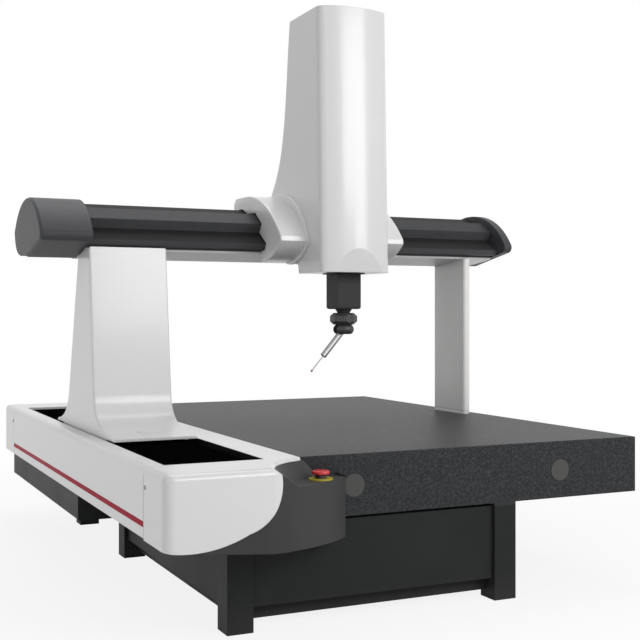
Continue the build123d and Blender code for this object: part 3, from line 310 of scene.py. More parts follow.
def white_paint(name):
    """Gloss white paint with a slow drift of tone and a fine peel."""
    paint = Finish(name, Coat_Weight=0.35, Coat_Roughness=0.12)
    drift = paint.noise(1.6, detail=3.0)
    fine = paint.noise(330.0)
    paint.mottle(drift, COVER_WHITE, COVER_WARM, rough=0.27, swing=0.08)
    paint.relief(fine, distance=0.0002, strength=0.18, edge=0.005)
    return paint


cover_paint = white_paint("cover_paint")
cover_paint.on("guideway_outer_cover", "guideway_inner_cover", "guideway_front_cap", "guideway_rear_cap")

# Pinstripe: a plain dull red tape laid along the outer shell near its lower edge, from seam to seam.
# It is cut from thin cast film, so its edges stand only a hair above the paint.
STRIPE_HEIGHT = 0.4415
STRIPE_WIDTH = 0.022
STRIPE_PROUD = 0.0003
STRIPE_SUNK = 0.0010
STRIPE_END = 0.004
STRIPE_EDGE = 0.0002
STRIPE_DEEP = (0.37, 0.022, 0.045, 1.0)
STRIPE_RED = (0.43, 0.028, 0.052, 1.0)
stripe_film = Finish("stripe_film", Specular_IOR_Level=0.12)
film_tone = stripe_film.noise(18.0, detail=3.0)
stripe_film.mottle(film_tone, STRIPE_DEEP, STRIPE_RED, rough=0.55, swing=0.1)
cover_low, cover_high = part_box("guideway_outer_cover")
stripe_size = (STRIPE_PROUD + STRIPE_SUNK, cover_high[1] - cover_low[1] - 2 * STRIPE_END, STRIPE_WIDTH)
stripe_at = (
    cover_low[0] + (STRIPE_SUNK - STRIPE_PROUD) / 2,
    (cover_low[1] + cover_high[1]) / 2,
    STRIPE_HEIGHT,
)
bpy.ops.object.select_all(action="DESELECT")
bpy.ops.mesh.primitive_cube_add(size=1.0, location=stripe_at, scale=stripe_size)
pinstripe = begin("pinstripe")
pick(pinstripe, lambda middle, normal: normal.x < -FACING)
bpy.ops.mesh.bevel(offset=STRIPE_EDGE, segments=2, affect="EDGES")
settle(pinstripe, stripe_film, "base")

# Cap seams: the end caps butt against the long outer shell, and a thin black gasket fills each joint.
# It runs up the face, round the corner and over the rim.
GASKET_HALF = 0.0008
GASKET_PROUD = 0.0002
GASKET_DEPTH = 0.0010
GASKET_RUN = 0.046
COVER_CORNER = 0.026
GASKET_DARK = (0.10, 0.10, 0.10, 1.0)
GASKET_PALE = (0.17, 0.17, 0.17, 1.0)


def alone(piece):
    """Selects one piece and nothing else."""
    bpy.ops.object.select_all(action="DESELECT")
    piece.select_set(True)
    bpy.context.view_layer.objects.active = piece


def copy_to(piece, name, step):
    """A copy with its own mesh, moved by a step."""
    alone(piece)
    bpy.ops.object.duplicate()
    twin = bpy.context.object
    twin.name = name
    bpy.ops.transform.translate(value=step)
    bpy.ops.object.transform_apply(location=True, rotation=True, scale=True)
    return twin


gasket_rubber = Finish("gasket_rubber", Specular_IOR_Level=0.2)
gasket_grain = gasket_rubber.noise(400.0, detail=3.0)
gasket_rubber.mottle(gasket_grain, GASKET_DARK, GASKET_PALE, rough=0.6, swing=0.2)
front_seam = cover_low[1]
rear_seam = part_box("guideway_rear_cap")[0][1]
gasket_foot = cover_low[2] + GASKET_DEPTH
gasket_turn = cover_high[2] - COVER_CORNER
gasket_size = (GASKET_PROUD + GASKET_DEPTH, 2 * GASKET_HALF, gasket_turn - gasket_foot)
gasket_at = (
    cover_low[0] + (GASKET_DEPTH - GASKET_PROUD) / 2,
    front_seam,
    (gasket_turn + gasket_foot) / 2,
)
corner_at = (cover_low[0] + COVER_CORNER, front_seam, gasket_turn)
bpy.ops.object.select_all(action="DESELECT")
bpy.ops.mesh.primitive_cube_add(size=1.0, location=gasket_at, scale=gasket_size)
front_gasket = begin("front_gasket")
pick(front_gasket, lambda middle, normal: normal.z > FACING)
bpy.ops.mesh.spin(steps=8, angle=pi / 2, center=corner_at, axis=(0.0, 1.0, 0.0))
bpy.ops.mesh.extrude_region_move(TRANSFORM_OT_translate={"value": (GASKET_RUN, 0.0, 0.0)})
settle(front_gasket, gasket_rubber, "base")
rear_gasket = copy_to(front_gasket, "rear_gasket", (0.0, rear_seam - front_seam, 0.0))
settle(rear_gasket, gasket_rubber, "base")

# Cover latch: a quarter-turn fastener of turned steel beside each seam, with a dished head and a
# screwdriver slot. It pulls the cap against the gasket.
LATCH_RADIUS = 0.009
LATCH_PROUD = 0.0022
LATCH_LENGTH = 0.010
LATCH_RIM = 0.0022
LATCH_DISH = 0.0010
LATCH_HEIGHT = 0.577
LATCH_OFFSET = 0.019
SLOT_WIDTH = 0.0022
SLOT_DEPTH = 0.0016
LATCH_DULL = (0.26, 0.26, 0.27, 1.0)
LATCH_BRIGHT = (0.40, 0.40, 0.40, 1.0)
SQUARE_ON = 0.99


def cut_away(piece, cutter):
    """Takes the cutter's shape out of a piece, and the cutter out of the scene."""
    cut = piece.modifiers.new("cut", "BOOLEAN")
    cut.object = cutter
    cut.operation = "DIFFERENCE"
    alone(piece)
    bpy.ops.object.modifier_apply(modifier=cut.name)
    bpy.data.objects.remove(cutter)


latch_steel = Finish("latch_steel", Metallic=1.0)
latch_turned = latch_steel.noise(900.0, detail=3.0)
latch_steel.mottle(latch_turned, LATCH_DULL, LATCH_BRIGHT, rough=0.30, swing=0.2)
latch_at = (cover_low[0] - LATCH_PROUD + LATCH_LENGTH / 2, front_seam - LATCH_OFFSET, LATCH_HEIGHT)
bpy.ops.object.select_all(action="DESELECT")
bpy.ops.mesh.primitive_cylinder_add(
    vertices=32, radius=LATCH_RADIUS, depth=LATCH_LENGTH, location=latch_at, rotation=(0.0, -pi / 2, 0.0)
)
front_latch = begin("front_latch")
pick(front_latch, lambda middle, normal: normal.x < -FACING)
bpy.ops.mesh.bevel(offset=LATCH_RIM / 3, segments=2, affect="EDGES")
pick(front_latch, lambda middle, normal: normal.x < -SQUARE_ON)
bpy.ops.mesh.inset(thickness=LATCH_RIM)
bpy.ops.mesh.extrude_region_move(TRANSFORM_OT_translate={"value": (LATCH_DISH, 0.0, 0.0)})
bpy.ops.object.mode_set(mode="OBJECT")
bpy.ops.object.select_all(action="DESELECT")
slot_at = (latch_at[0] - LATCH_LENGTH / 2, latch_at[1], latch_at[2])
slot_size = (2 * (LATCH_DISH + SLOT_DEPTH), 2 * (LATCH_RADIUS - LATCH_RIM), SLOT_WIDTH)
bpy.ops.mesh.primitive_cube_add(size=1.0, location=slot_at, scale=slot_size)
cut_away(front_latch, bpy.context.object)
settle(front_latch, latch_steel, "base")
rear_latch = copy_to(front_latch, "rear_latch", (0.0, rear_seam - front_seam + 2 * LATCH_OFFSET, 0.0))
settle(rear_latch, latch_steel, "base")

# Dust belt: a woven black band with a rubber face, ribbed across. It is stretched over the guideway
# between the covers and stays still while the bridge passes. A wave of scale 1 turns 20 radians a metre.
BELT_BLACK = (0.0022, 0.0020, 0.0021, 1.0)
RIB_PITCH = 0.02618
WAVE_RADIANS = 20.0
belt = Finish("belt_black", Base_Color=BELT_BLACK, Specular_IOR_Level=0.0)
rib_wave = {"Vector": belt.place, "Scale": 2 * pi / (WAVE_RADIANS * RIB_PITCH)}
ribs = belt.node("ShaderNodeTexWave", {"bands_direction": "Y"}, rib_wave)
belt.feed("Roughness", 0.72 + ribs * 0.15)
belt.relief(ribs, distance=0.0006, strength=0.5)
belt.on("dust_belt")

# Brush strips: black bristles in a thin holder, glued to the walls of both covers. They close the slots
# beside the belt, and the hangers of the bridge run past their tips.
BRUSH_HOLDER = 0.0016
BRUSH_SUNK = 0.0005
BRUSH_TOP = 0.0012
BRUSH_LOW = 0.0260
BRUSH_THICK = 0.0040
BRUSH_TIP_GAP = 0.0020
BRUSH_END = 0.0020
BRUSH_DARK = (0.003, 0.003, 0.003, 1.0)
BRUSH_PALE = (0.008, 0.008, 0.008, 1.0)
brush_black = Finish("brush_black", Specular_IOR_Level=0.05)
bristles = brush_black.noise(900.0, detail=2.0, place=brush_black.stretch((0.2, 6.0, 1.0)))
brush_black.mottle(bristles, BRUSH_DARK, BRUSH_PALE, rough=0.85, swing=0.1)
wall_low, wall_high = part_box("guideway_inner_cover")
belt_low, belt_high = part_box("dust_belt")
brush_reach = wall_low[0] - BRUSH_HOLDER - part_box("y_carriage")[1][0] - BRUSH_TIP_GAP
brush_split = wall_high[2] - BRUSH_LOW + BRUSH_THICK
brush_middle = (wall_low[1] + wall_high[1]) / 2
brush_length = wall_high[1] - wall_low[1] - 2 * BRUSH_END
holder_size = (BRUSH_HOLDER + BRUSH_SUNK, brush_length, BRUSH_LOW - BRUSH_TOP)
holder_at = (
    wall_low[0] + (BRUSH_SUNK - BRUSH_HOLDER) / 2,
    brush_middle,
    wall_high[2] - (BRUSH_TOP + BRUSH_LOW) / 2,
)
bpy.ops.object.select_all(action="DESELECT")
bpy.ops.mesh.primitive_cube_add(size=1.0, location=holder_at, scale=holder_size)
inner_brush = begin("inner_brush")
bpy.ops.mesh.select_all(action="SELECT")
bpy.ops.mesh.bisect(plane_co=(0.0, 0.0, brush_split), plane_no=(0.0, 0.0, 1.0))
pick(inner_brush, lambda middle, normal: normal.x < -FACING and middle.z < brush_split)
bpy.ops.mesh.extrude_region_move(TRANSFORM_OT_translate={"value": (-brush_reach, 0.0, 0.0)})
settle(inner_brush, brush_black, "base")
outer_brush = copy_to(inner_brush, "outer_brush", (0.0, 0.0, 0.0))
alone(outer_brush)
bpy.ops.object.mode_set(mode="EDIT")
bpy.ops.mesh.select_all(action="SELECT")
belt_middle = ((belt_low[0] + belt_high[0]) / 2, brush_middle, brush_split)
bpy.ops.transform.rotate(value=pi, orient_axis="Z", center_override=belt_middle)
settle(outer_brush, brush_black, "base")

# Console: a dark moulded housing wrapped round the white nose of the guideway cover, with a fine
# spark-eroded grain over the whole of it.
CONSOLE_DARK = (0.0255, 0.0255, 0.0255, 1.0)
CONSOLE_LIGHT = (0.0385, 0.0385, 0.0385, 1.0)
console_plastic = Finish("console_plastic", Specular_IOR_Level=0.3)
console_grain = console_plastic.noise(520.0, detail=3.0)
console_drift = console_plastic.noise(4.0)
console_plastic.feed("Base Color", console_plastic.tint(console_drift, CONSOLE_DARK, CONSOLE_LIGHT))
console_plastic.feed("Roughness", 0.44 + console_grain * 0.14)
console_plastic.relief(console_grain, distance=0.0004, strength=0.35, edge=0.006)
console_plastic.on("console_housing")

# Emergency stop: a yellow disc under a red mushroom in a black collar, all glossy moulded plastic.
# Disc and collar are fixed to the console, and the mushroom is pushed down by hand.
stop_finishes = (
    ("stop_yellow", "stop_disc", (0.56, 0.50, 0.035, 1.0), (0.50, 0.43, 0.03, 1.0)),
    ("stop_red", "stop_button", (0.60, 0.022, 0.028, 1.0), (0.52, 0.016, 0.022, 1.0)),
    ("stop_black", "stop_collar", (0.012, 0.012, 0.012, 1.0), (0.018, 0.018, 0.018, 1.0)),
)
for stop_name, stop_node, stop_bright, stop_dull in stop_finishes:
    stop_plastic = Finish(stop_name, Coat_Weight=0.2)
    stop_wear = stop_plastic.noise(70.0, detail=4.0)
    stop_plastic.mottle(stop_wear, stop_bright, stop_dull, rough=0.26, swing=0.16)
    stop_plastic.relief(stop_wear, distance=0.0001, strength=0.2, edge=0.0015)
    stop_plastic.on(stop_node)

# Cabinet: a folded sheet box hung under the rear half of the guideway cover, sprayed in the same dark
# coat as the stand.
stand_paint.on("service_cabinet")

# Bare castings: the bridge carriage, the frames and the bearing pads inside, machined aluminium with
# faint milling marks. The coils of the linear motors beside them are potted in black resin.
ALUMINIUM_DULL = (0.50, 0.51, 0.52, 1.0)
ALUMINIUM_BRIGHT = (0.66, 0.66, 0.66, 1.0)
COIL_BLACK = (0.016, 0.016, 0.017, 1.0)
bare_aluminium = Finish("bare_aluminium", Metallic=1.0)
milled = bare_aluminium.noise(90.0, detail=3.0, place=bare_aluminium.stretch((1.0, 6.0, 6.0)))
bare_aluminium.mottle(milled, ALUMINIUM_DULL, ALUMINIUM_BRIGHT, rough=0.34, swing=0.18)
bare_aluminium.relief(milled, distance=0.0002, strength=0.25, edge=0.002)
bare_aluminium.on(
    "y_carriage", "carriage_frame", "z_guides", "z_spine", "balance_cylinder", "quill_crosshead",
    "y_bearing_pads", "x_bearing_pads", "right_pad"
)
coil_black = Finish("coil_black", Base_Color=COIL_BLACK)
potting = coil_black.noise(120.0, detail=3.0)
coil_black.feed("Roughness", 0.40 + potting * 0.2)
coil_black.relief(potting, distance=0.0003, strength=0.3, edge=0.002)
coil_black.on("y_motor_coil", "x_motor_coil", "z_motor_coil")

# Left leg: cast column with a flared foot, filled, sanded and painted gloss white; a moulded cap
# closes the screw pocket in the toe of the foot.
leg_paint = white_paint("leg_paint")
leg_paint.on("bridge_leg", "foot_cap")

# Right post and the sole of the beam: castings, the post sprayed white and the sole pale grey, both
# duller than the covers. The post stands on the stone by way of its pad.
SOLE_DARK = (0.66, 0.65, 0.645, 1.0)
SOLE_PALE = (0.73, 0.722, 0.715, 1.0)
POST_DARK = (0.80, 0.79, 0.78, 1.0)
POST_PALE = (0.86, 0.85, 0.84, 1.0)


def dull_paint(name, first, second, rough, edge, **surface):
    """Paint with less gloss than the covers have, and a fine peel."""
    paint = Finish(name, **surface)
    drift = paint.noise(2.2, detail=3.0)
    fine = paint.noise(300.0)
    paint.mottle(drift, first, second, rough=rough, swing=0.1)
    paint.relief(fine, distance=0.0002, strength=0.2, edge=edge)
    return paint


sole_paint = dull_paint("pale_grey", SOLE_DARK, SOLE_PALE, rough=0.36, edge=0.004)
sole_paint.on("beam_sole")
post_gloss = {"Coat_Weight": 0.2, "Coat_Roughness": 0.15}
post_paint = dull_paint("post_paint", POST_DARK, POST_PALE, rough=0.30, edge=0.012, **post_gloss)
post_paint.on("right_post")

# Beam: long extrusion with a stepped, grooved front, anodised dark grey; the drawing marks of the
# die run along it. Woven wear bands are bonded to the crown and to the lower slope.
BEAM_DARK = (0.032, 0.033, 0.036, 1.0)
BEAM_LIGHT = (0.046, 0.047, 0.051, 1.0)
LIP_DARK = (0.060, 0.061, 0.064, 1.0)
LIP_LIGHT = (0.085, 0.086, 0.090, 1.0)
WEAVE_DARK = (0.010, 0.010, 0.011, 1.0)
WEAVE_LIGHT = (0.038, 0.038, 0.040, 1.0)
CROWN_DROP = 0.034
GROOVE_DROP = 0.090
LOWER_BAND_DROP = 0.132
LIP_DROP = 0.192
WEAVE_HEIGHT = 3.0
beam_grey = Finish("beam_grey", Specular_IOR_Level=0.1)
drawn = beam_grey.noise(40.0, detail=3.0, place=beam_grey.stretch((0.3, 7.0, 7.0)))
beam_height = beam_grey.axis("Z")
beam_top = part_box("beam")[1][2]
bare_face = beam_grey.tint(drawn, BEAM_DARK, BEAM_LIGHT)
in_groove = beam_grey.band(beam_height, beam_top - LOWER_BAND_DROP, beam_top - GROOVE_DROP)
on_lip = beam_height < beam_top - LIP_DROP
on_band = beam_grey.band(beam_height, beam_top - LIP_DROP, beam_top - LOWER_BAND_DROP)
on_band = on_band + (beam_height > beam_top - CROWN_DROP)
weave = beam_grey.noise(260.0, detail=3.0, place=beam_grey.stretch((0.5, 2.0, 2.0)))
ground_face = beam_grey.tint(in_groove + on_lip, bare_face, beam_grey.tint(drawn, LIP_DARK, LIP_LIGHT))
woven_face = beam_grey.tint(weave, WEAVE_DARK, WEAVE_LIGHT)
beam_grey.feed("Base Color", beam_grey.tint(on_band, ground_face, woven_face))
beam_grey.feed("Roughness", 0.36 + drawn * 0.16 + on_band * 0.2)
beam_grey.relief(drawn + on_band * weave * WEAVE_HEIGHT, distance=0.0002, strength=0.3, edge=0.004)
beam_grey.on("beam")

# End caps of the beam: moulded helmets with a leathery dark grain, pushed over both ends of the
# extrusion.
CAP_DARK = (0.042, 0.043, 0.047, 1.0)
CAP_PALE = (0.060, 0.061, 0.066, 1.0)
LEATHER_PER_METRE = 240.0
cap_plastic = Finish("cap_plastic", Specular_IOR_Level=0.25)
leather = {"Vector": cap_plastic.place, "Scale": LEATHER_PER_METRE}
cap_cells = cap_plastic.node("ShaderNodeTexVoronoi", {}, leather, "Distance")
cap_drift = cap_plastic.noise(5.0)
cap_plastic.feed("Base Color", cap_plastic.tint(cap_drift, CAP_DARK, CAP_PALE))
cap_plastic.feed("Roughness", 0.42 + cap_cells * 0.15)
cap_plastic.relief(cap_cells, distance=0.0006, strength=0.35, edge=0.005)
cap_plastic.on("left_end_cap", "right_end_cap")

# Carriage hood: the tall tower, its bottom plate and the rear cover, moulded shells in gloss white
# that close round the frame of the carriage.
hood_paint = white_paint("hood_paint")
hood_paint.on("tower_hood", "tower_bottom_plate", "carriage_rear_cover")

# Collars: moulded sleeves with a full round top and a narrow flat along the front, each with a fuller,
# rounder shoulder where it meets the side of the tower. The bore follows the beam with a small gap.
COLLAR_FLAT_TOP = (-0.341, 1.570)
COLLAR_FLAT_FOOT = (-0.344, 1.548)
COLLAR_BROW = (-0.199, 1.699)
COLLAR_CROWN = (0.100, 1.800)
COLLAR_RIDGE = (0.262, 1.802)
COLLAR_BACK = (0.290, 1.776)
COLLAR_HEEL = (0.290, 1.490)
COLLAR_LIP_REAR = (-0.090, 1.490)
COLLAR_LIP = (-0.096, 1.453)
COLLAR_CHIN = (-0.268, 1.495)
COLLAR_RIM = 0.007
COLLAR_GAP = 0.006
COLLAR_CRISP = radians(12.0)
SHOULDER_BROW = (-0.219, 1.719)
SHOULDER_CHIN = (-0.274, 1.489)
SHOULDER_LENGTH = 0.016
SHOULDER_PROUD = 0.008
SHOULDER_ROUND = 0.008
ARC_STEPS = 20
MERGE_WITHIN = 0.00001


def arc(start, via, end):
    """Points on the circle through three places, without the last one."""
    ax, ay = via[0] - start[0], via[1] - start[1]
    bx, by = end[0] - start[0], end[1] - start[1]
    twice = 2 * (ax * by - ay * bx)
    a_square, b_square = ax * ax + ay * ay, bx * bx + by * by
    middle = ((by * a_square - ay * b_square) / twice, (ax * b_square - bx * a_square) / twice)
    radius = (middle[0] ** 2 + middle[1] ** 2) ** 0.5
    first = atan2(-middle[1], -middle[0])
    turn = (atan2(by - middle[1], bx - middle[0]) - first + pi) % (2 * pi) - pi
    angles = [first + turn * step / ARC_STEPS for step in range(ARC_STEPS)]
    across, height = start[0] + middle[0], start[1] + middle[1]
    return [(across + radius * cos(angle), height + radius * sin(angle)) for angle in angles]


def sleeve(name, start, end, brow, chin, rim, grow):
    """The collar's section, drawn flat, filled, swept along the beam and made a mesh."""
    back = [COLLAR_CROWN, COLLAR_RIDGE, COLLAR_BACK, COLLAR_HEEL, COLLAR_LIP_REAR]
    under = arc(COLLAR_LIP, chin, COLLAR_FLAT_FOOT) + [COLLAR_FLAT_FOOT]
    section = arc(COLLAR_FLAT_TOP, brow, COLLAR_CROWN) + back + under
    drawing = bpy.data.curves.new(name, "CURVE")
    drawing.dimensions = "2D"
    drawing.fill_mode = "BOTH"
    drawing.extrude = abs(end - start) / 2 - rim
    drawing.bevel_depth = rim
    drawing.bevel_resolution = 3
    drawing.offset = grow - rim
    line = drawing.splines.new("POLY")
    line.points.add(len(section) - 1)
    for point, (across, height) in zip(line.points, section):
        point.co = (across, height, 0.0, 1.0)
    line.use_cyclic_u = True
    piece = bpy.data.objects.new(name, drawing)
    bpy.context.collection.objects.link(piece)
    alone(piece)
    bpy.ops.object.convert(target="MESH")
    piece.location = ((start + end) / 2, 0.0, 0.0)
    piece.rotation_euler = (pi / 2, 0.0, pi / 2)
    bpy.ops.object.transform_apply(location=True, rotation=True, scale=True)
    bpy.ops.object.mode_set(mode="EDIT")
    bpy.ops.mesh.select_all(action="SELECT")
    bpy.ops.mesh.remove_doubles(threshold=MERGE_WITHIN)
    bpy.ops.mesh.normals_make_consistent(inside=False)
    bpy.ops.object.mode_set(mode="OBJECT")
    return piece


def bore(piece):
    """Cuts the beam, grown by the gap, out of a sleeve."""
    for node in ("beam", "beam_sole", "x_magnet_track", "x_scale"):
        cutter = bpy.data.objects.new("cutter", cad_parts[node].data.copy())
        bpy.context.collection.objects.link(cutter)
        alone(cutter)
        bpy.ops.object.mode_set(mode="EDIT")
        bpy.ops.mesh.select_all(action="SELECT")
        bpy.ops.mesh.remove_doubles(threshold=MERGE_WITHIN)
        bpy.ops.transform.shrink_fatten(value=COLLAR_GAP, use_even_offset=True)
        bpy.ops.object.mode_set(mode="OBJECT")
        cut_away(piece, cutter)


tower_low, tower_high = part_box("tower_hood")
collars = (
    ("left", "left_collar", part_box("left_collar")[0][0], tower_low[0], 1),
    ("right", "right_collar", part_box("right_collar")[1][0], tower_high[0], -1),
)
for side, collar_node, free_end, tower_end, inward in collars:
    barrel = sleeve(side + "_sleeve", free_end, tower_end, COLLAR_BROW, COLLAR_CHIN, COLLAR_RIM, 0.0)
    bore(barrel)
    settle(barrel, hood_paint, "carriage", crisp=COLLAR_CRISP)
    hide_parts(collar_node)
    shoulder = sleeve(
        side + "_shoulder",
        tower_end - inward * SHOULDER_LENGTH,
        tower_end + inward * SHOULDER_ROUND,
        SHOULDER_BROW,
        SHOULDER_CHIN,
        SHOULDER_ROUND,
        SHOULDER_PROUD,
    )
    bore(shoulder)
    settle(shoulder, hood_paint, "carriage")

# Rear cover screws: round-headed steel screws with a round recess for the driver. Two sit at the foot
# of the rear cover and two halfway up it.
SCREW_RADIUS = 0.0065
SCREW_PROUD = 0.0032
SCREW_SUNK = 0.004
SCREW_SOCKET = 0.0034
SCREW_SOCKET_DEPTH = 0.0022
SCREW_INSET = 0.024
SCREW_ROUND = 0.00224
SCREW_DULL = (0.10, 0.10, 0.105, 1.0)
SCREW_BRIGHT = (0.20, 0.20, 0.205, 1.0)
screw_steel = Finish("screw_steel", Metallic=1.0)
screw_skin = screw_steel.noise(700.0, detail=3.0)
screw_steel.mottle(screw_skin, SCREW_DULL, SCREW_BRIGHT, rough=0.32, swing=0.2)
rear_low, rear_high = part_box("carriage_rear_cover")
screw_length = SCREW_PROUD + SCREW_SUNK
screw_at = (
    rear_low[0] + SCREW_INSET,
    rear_high[1] + SCREW_PROUD - screw_length / 2,
    rear_low[2] + SCREW_INSET,
)
bpy.ops.object.select_all(action="DESELECT")
bpy.ops.mesh.primitive_cylinder_add(
    vertices=24, radius=SCREW_RADIUS, depth=screw_length, location=screw_at, rotation=(-pi / 2, 0.0, 0.0)
)
rear_screw = begin("rear_screw_1")
pick(rear_screw, lambda middle, normal: normal.y > FACING)
bpy.ops.mesh.bevel(offset=SCREW_ROUND, segments=4, affect="EDGES")
pick(rear_screw, lambda middle, normal: normal.y > SQUARE_ON)
bpy.ops.mesh.inset(thickness=SCREW_RADIUS - SCREW_ROUND - SCREW_SOCKET)
bpy.ops.mesh.extrude_region_move(TRANSFORM_OT_translate={"value": (0.0, -SCREW_SOCKET_DEPTH, 0.0)})
settle(rear_screw, screw_steel, "carriage")
screw_across = rear_high[0] - rear_low[0] - 2 * SCREW_INSET
screw_up = (rear_high[2] - rear_low[2]) / 2 - SCREW_INSET
for number, (column, row) in enumerate(((0, 1), (1, 0), (1, 1)), start=2):
    twin = copy_to(rear_screw, "rear_screw_%d" % number, (column * screw_across, 0.0, row * screw_up))
    settle(twin, screw_steel, "carriage")

# Quill: a square tube with a plate on its lower end, hard anodised near black and brushed along its
# length. It runs in the guides inside the tower.
QUILL_DARK = (0.044, 0.044, 0.045, 1.0)
QUILL_PALE = (0.062, 0.062, 0.064, 1.0)
quill_black = Finish("quill_black", Specular_IOR_Level=0.06)
brushed = quill_black.noise(55.0, detail=3.0, place=quill_black.stretch((8.0, 8.0, 0.25)))
quill_black.mottle(brushed, QUILL_DARK, QUILL_PALE, rough=0.34, swing=0.18)
quill_black.relief(brushed, distance=0.0001, strength=0.3, edge=0.004)
quill_black.on("quill", "quill_end_plate")

# Quill wiper: a moulded rubber frame clamped under the bottom plate of the tower. Its lip lies close
# round the square quill and keeps dust out of the guides.
WIPER_GAP = 0.0008
WIPER_WIDTH = 0.014
WIPER_THICK = 0.005
WIPER_CORNER = 0.002
WIPER_EDGE = 0.0012
WIPER_DARK = (0.012, 0.012, 0.013, 1.0)
WIPER_PALE = (0.022, 0.022, 0.023, 1.0)
wiper_rubber = Finish("wiper_rubber", Specular_IOR_Level=0.2)
wiper_skin = wiper_rubber.noise(220.0, detail=4.0)
wiper_rubber.mottle(wiper_skin, WIPER_DARK, WIPER_PALE, rough=0.6, swing=0.2)
wiper_rubber.relief(wiper_skin, distance=0.0003, strength=0.3)
quill_low, quill_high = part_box("quill")
plate_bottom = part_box("tower_bottom_plate")[0][2]
wiper_at = ((quill_low[0] + quill_high[0]) / 2, (quill_low[1] + quill_high[1]) / 2, plate_bottom)
wiper_opening = quill_high[0] - quill_low[0] + 2 * WIPER_GAP
wiper_grow = 1 + 2 * WIPER_WIDTH / wiper_opening
bpy.ops.object.select_all(action="DESELECT")
bpy.ops.mesh.primitive_plane_add(size=wiper_opening, location=wiper_at)
quill_wiper = begin("quill_wiper")
bpy.ops.mesh.select_mode(type="VERT")
bpy.ops.mesh.select_all(action="SELECT")
bpy.ops.mesh.bevel(offset=WIPER_CORNER, segments=6, affect="VERTICES")
bpy.ops.mesh.select_mode(type="EDGE")
bpy.ops.mesh.select_all(action="SELECT")
bpy.ops.mesh.delete(type="ONLY_FACE")
bpy.ops.mesh.select_all(action="SELECT")
bpy.ops.mesh.extrude_region_move()
bpy.ops.transform.resize(value=(wiper_grow, wiper_grow, 1.0), center_override=wiper_at)
bpy.ops.mesh.select_all(action="SELECT")
bpy.ops.mesh.extrude_region_move(TRANSFORM_OT_translate={"value": (0.0, 0.0, -WIPER_THICK)})
bpy.ops.mesh.select_mode(type="FACE")
pick(quill_wiper, lambda middle, normal: middle.z < plate_bottom - WIPER_THICK + WIPER_EDGE)
bpy.ops.mesh.bevel(offset=WIPER_EDGE, segments=2, affect="EDGES")
settle(quill_wiper, wiper_rubber, "carriage")

# Indexing head: an eight-sided body fixed under the quill, with a turning knuckle below it, both
# anodised near black.
HEAD_DARK = (0.034, 0.034, 0.036, 1.0)
HEAD_PALE = (0.062, 0.062, 0.065, 1.0)
head_black = Finish("head_black", Specular_IOR_Level=0.4)
head_skin = head_black.noise(180.0, detail=3.0)
head_black.mottle(head_skin, HEAD_DARK, HEAD_PALE, rough=0.30, swing=0.2)
head_black.relief(head_skin, distance=0.0002, strength=0.3, edge=0.002)
head_black.on("head_body", "head_rotor")

# Probe: a turned bright steel body and stem on a steel knuckle, which tilts on a pin in the head. The
# stem ends in a polished ruby ball.
PROBE_DULL = (0.34, 0.345, 0.35, 1.0)
PROBE_BRIGHT = (0.46, 0.46, 0.46, 1.0)
RUBY_DEEP = (0.36, 0.006, 0.018, 1.0)
RUBY_RED = (0.46, 0.012, 0.03, 1.0)
bright_steel = Finish("bright_steel", Metallic=1.0)
lathe = bright_steel.noise(500.0, detail=2.0)
bright_steel.mottle(lathe, PROBE_DULL, PROBE_BRIGHT, rough=0.32, swing=0.16)
bright_steel.relief(lathe, distance=0.0001, strength=0.3, edge=0.001)
bright_steel.on("probe_knuckle", "probe_body", "stylus")
ruby = Finish("ruby", Coat_Weight=0.6, Coat_Roughness=0.03)
depth = ruby.noise(900.0)
ruby.mottle(depth, RUBY_DEEP, RUBY_RED, rough=0.08, swing=0.05)
ruby.on("ruby_ball")

# Room: a plain pale floor that fades into a white surround. Both look white to the eye and in mirrors,
# and give less light than that to the part, so that the lamps shape its forms.
WHITE = (1.0, 1.0, 1.0, 1.0)
FLOOR_WHITE = (0.86, 0.86, 0.86, 1.0)
FLOOR_SIZE = 60.0
FLOOR_DROP = 0.001
FLOOR_GLOW = 0.86
SEEN_DIRECTLY = ("Is Camera Ray", "Is Glossy Ray", "Is Transmission Ray")
SHADOW_REACH = 1.6
SHADOW_FADE = 3.0
WORLD_LIGHT = 0.40


def seen_directly(nodes):
    """1 for a ray from the eye, also by way of a mirror or glass, and 0 for one that only lights."""
    rays = [nodes.node("ShaderNodeLightPath", {}, {}, kind) for kind in SEEN_DIRECTLY]
    return nodes.clamp(rays[0] + rays[1] + rays[2])


bpy.ops.object.select_all(action="DESELECT")
bpy.ops.mesh.primitive_plane_add(size=FLOOR_SIZE, location=(0.0, 0.0, -FLOOR_DROP))
floor = bpy.context.object
floor.name = "floor"
bpy.ops.object.transform_apply(location=True, rotation=True, scale=True)
floor_paint = Finish("floor_paint", Base_Color=FLOOR_WHITE, Roughness=0.9)
glow = floor_paint.node("ShaderNodeEmission", {}, {"Color": WHITE, "Strength": 1.0})
distance = floor_paint.node("ShaderNodeVectorMath", {"operation": "LENGTH"}, {0: floor_paint.place}, "Value")
fade = floor_paint.clamp((distance - SHADOW_REACH) / SHADOW_FADE) * (1 - FLOOR_GLOW) + FLOOR_GLOW
shading = Value(floor_paint, floor_paint.shader.outputs[0])
floor_mix = {0: seen_directly(floor_paint) * fade, 1: shading, 2: glow}
blend = floor_paint.node("ShaderNodeMixShader", {}, floor_mix)
Nodes(floor_paint.tree, "Material Output").feed("Surface", blend)
floor.data.materials.append(floor_paint.material)
world = bpy.data.worlds.new("studio")
world.use_nodes = True
bpy.context.scene.world = world
surround = Nodes(world.node_tree, "Background")
surround.shader.inputs["Color"].default_value = WHITE
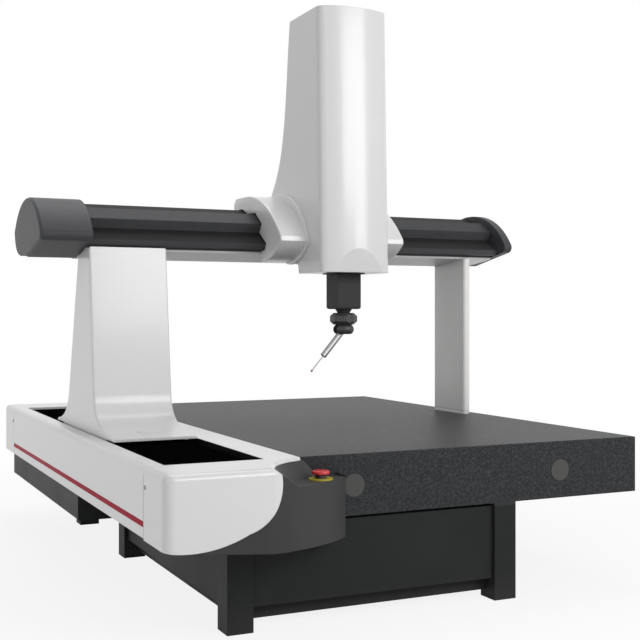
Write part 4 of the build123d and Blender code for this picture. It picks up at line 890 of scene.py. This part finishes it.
surround.feed("Strength", seen_directly(surround) * (1 - WORLD_LIGHT) + WORLD_LIGHT)

# Lamps: four soft boxes. The key and the front lamp share the highlight on the tower, the fill opens
# the left side, and the top lamp lights the beam and the far ends.
LAMPS = (
    ("key_lamp", (3.1, -5.6, 3.3), (0.1, -0.2, 1.5), 104.0, 1.9, 2.6),
    ("front_lamp", (1.3, -6.0, 3.5), (-0.4, -0.4, 1.2), 74.0, 1.7, 2.0),
    ("fill_lamp", (-9.0, -4.6, 2.6), (0.2, 0.0, 1.0), 70.0, 4.5, 4.5),
    ("top_lamp", (0.5, 1.5, 6.5), (0.2, 0.0, 1.0), 110.0, 4.0, 4.0),
)
for lamp_name, lamp_at, lamp_aim, lamp_power, lamp_width, lamp_height in LAMPS:
    lamp = bpy.data.lights.new(lamp_name, "AREA")
    lamp.energy = lamp_power
    lamp.shape = "RECTANGLE"
    lamp.size = lamp_width
    lamp.size_y = lamp_height
    lamp_object = bpy.data.objects.new(lamp_name, lamp)
    bpy.context.collection.objects.link(lamp_object)
    lamp_object.location = lamp_at
    reach = [aim - at for at, aim in zip(lamp_at, lamp_aim)]
    flat = (reach[0] ** 2 + reach[1] ** 2) ** 0.5
    lamp_object.rotation_euler = (atan2(flat, -reach[2]), 0.0, atan2(-reach[0], reach[1]))

# Camera: level, at about chest height, turned a quarter of a right angle and a little more. The lens is
# shifted instead of tilted, so that upright edges stay upright.
CAMERA_AT = (-2.2372, -5.1989, 1.204)
CAMERA_AIM = (0.4264, 0.9045)
CAMERA_LENS = 62.04
CAMERA_SENSOR = 36.0
CAMERA_SHIFT = -0.0122
camera_data = bpy.data.cameras.new("camera")
camera_data.lens = CAMERA_LENS
camera_data.sensor_width = CAMERA_SENSOR
camera_data.shift_y = CAMERA_SHIFT
camera = bpy.data.objects.new("camera", camera_data)
bpy.context.collection.objects.link(camera)
camera.location = CAMERA_AT
camera.rotation_euler = (pi / 2, 0.0, -atan2(CAMERA_AIM[0], CAMERA_AIM[1]))
bpy.context.scene.camera = camera
bpy.context.scene.view_settings.view_transform = "Standard"
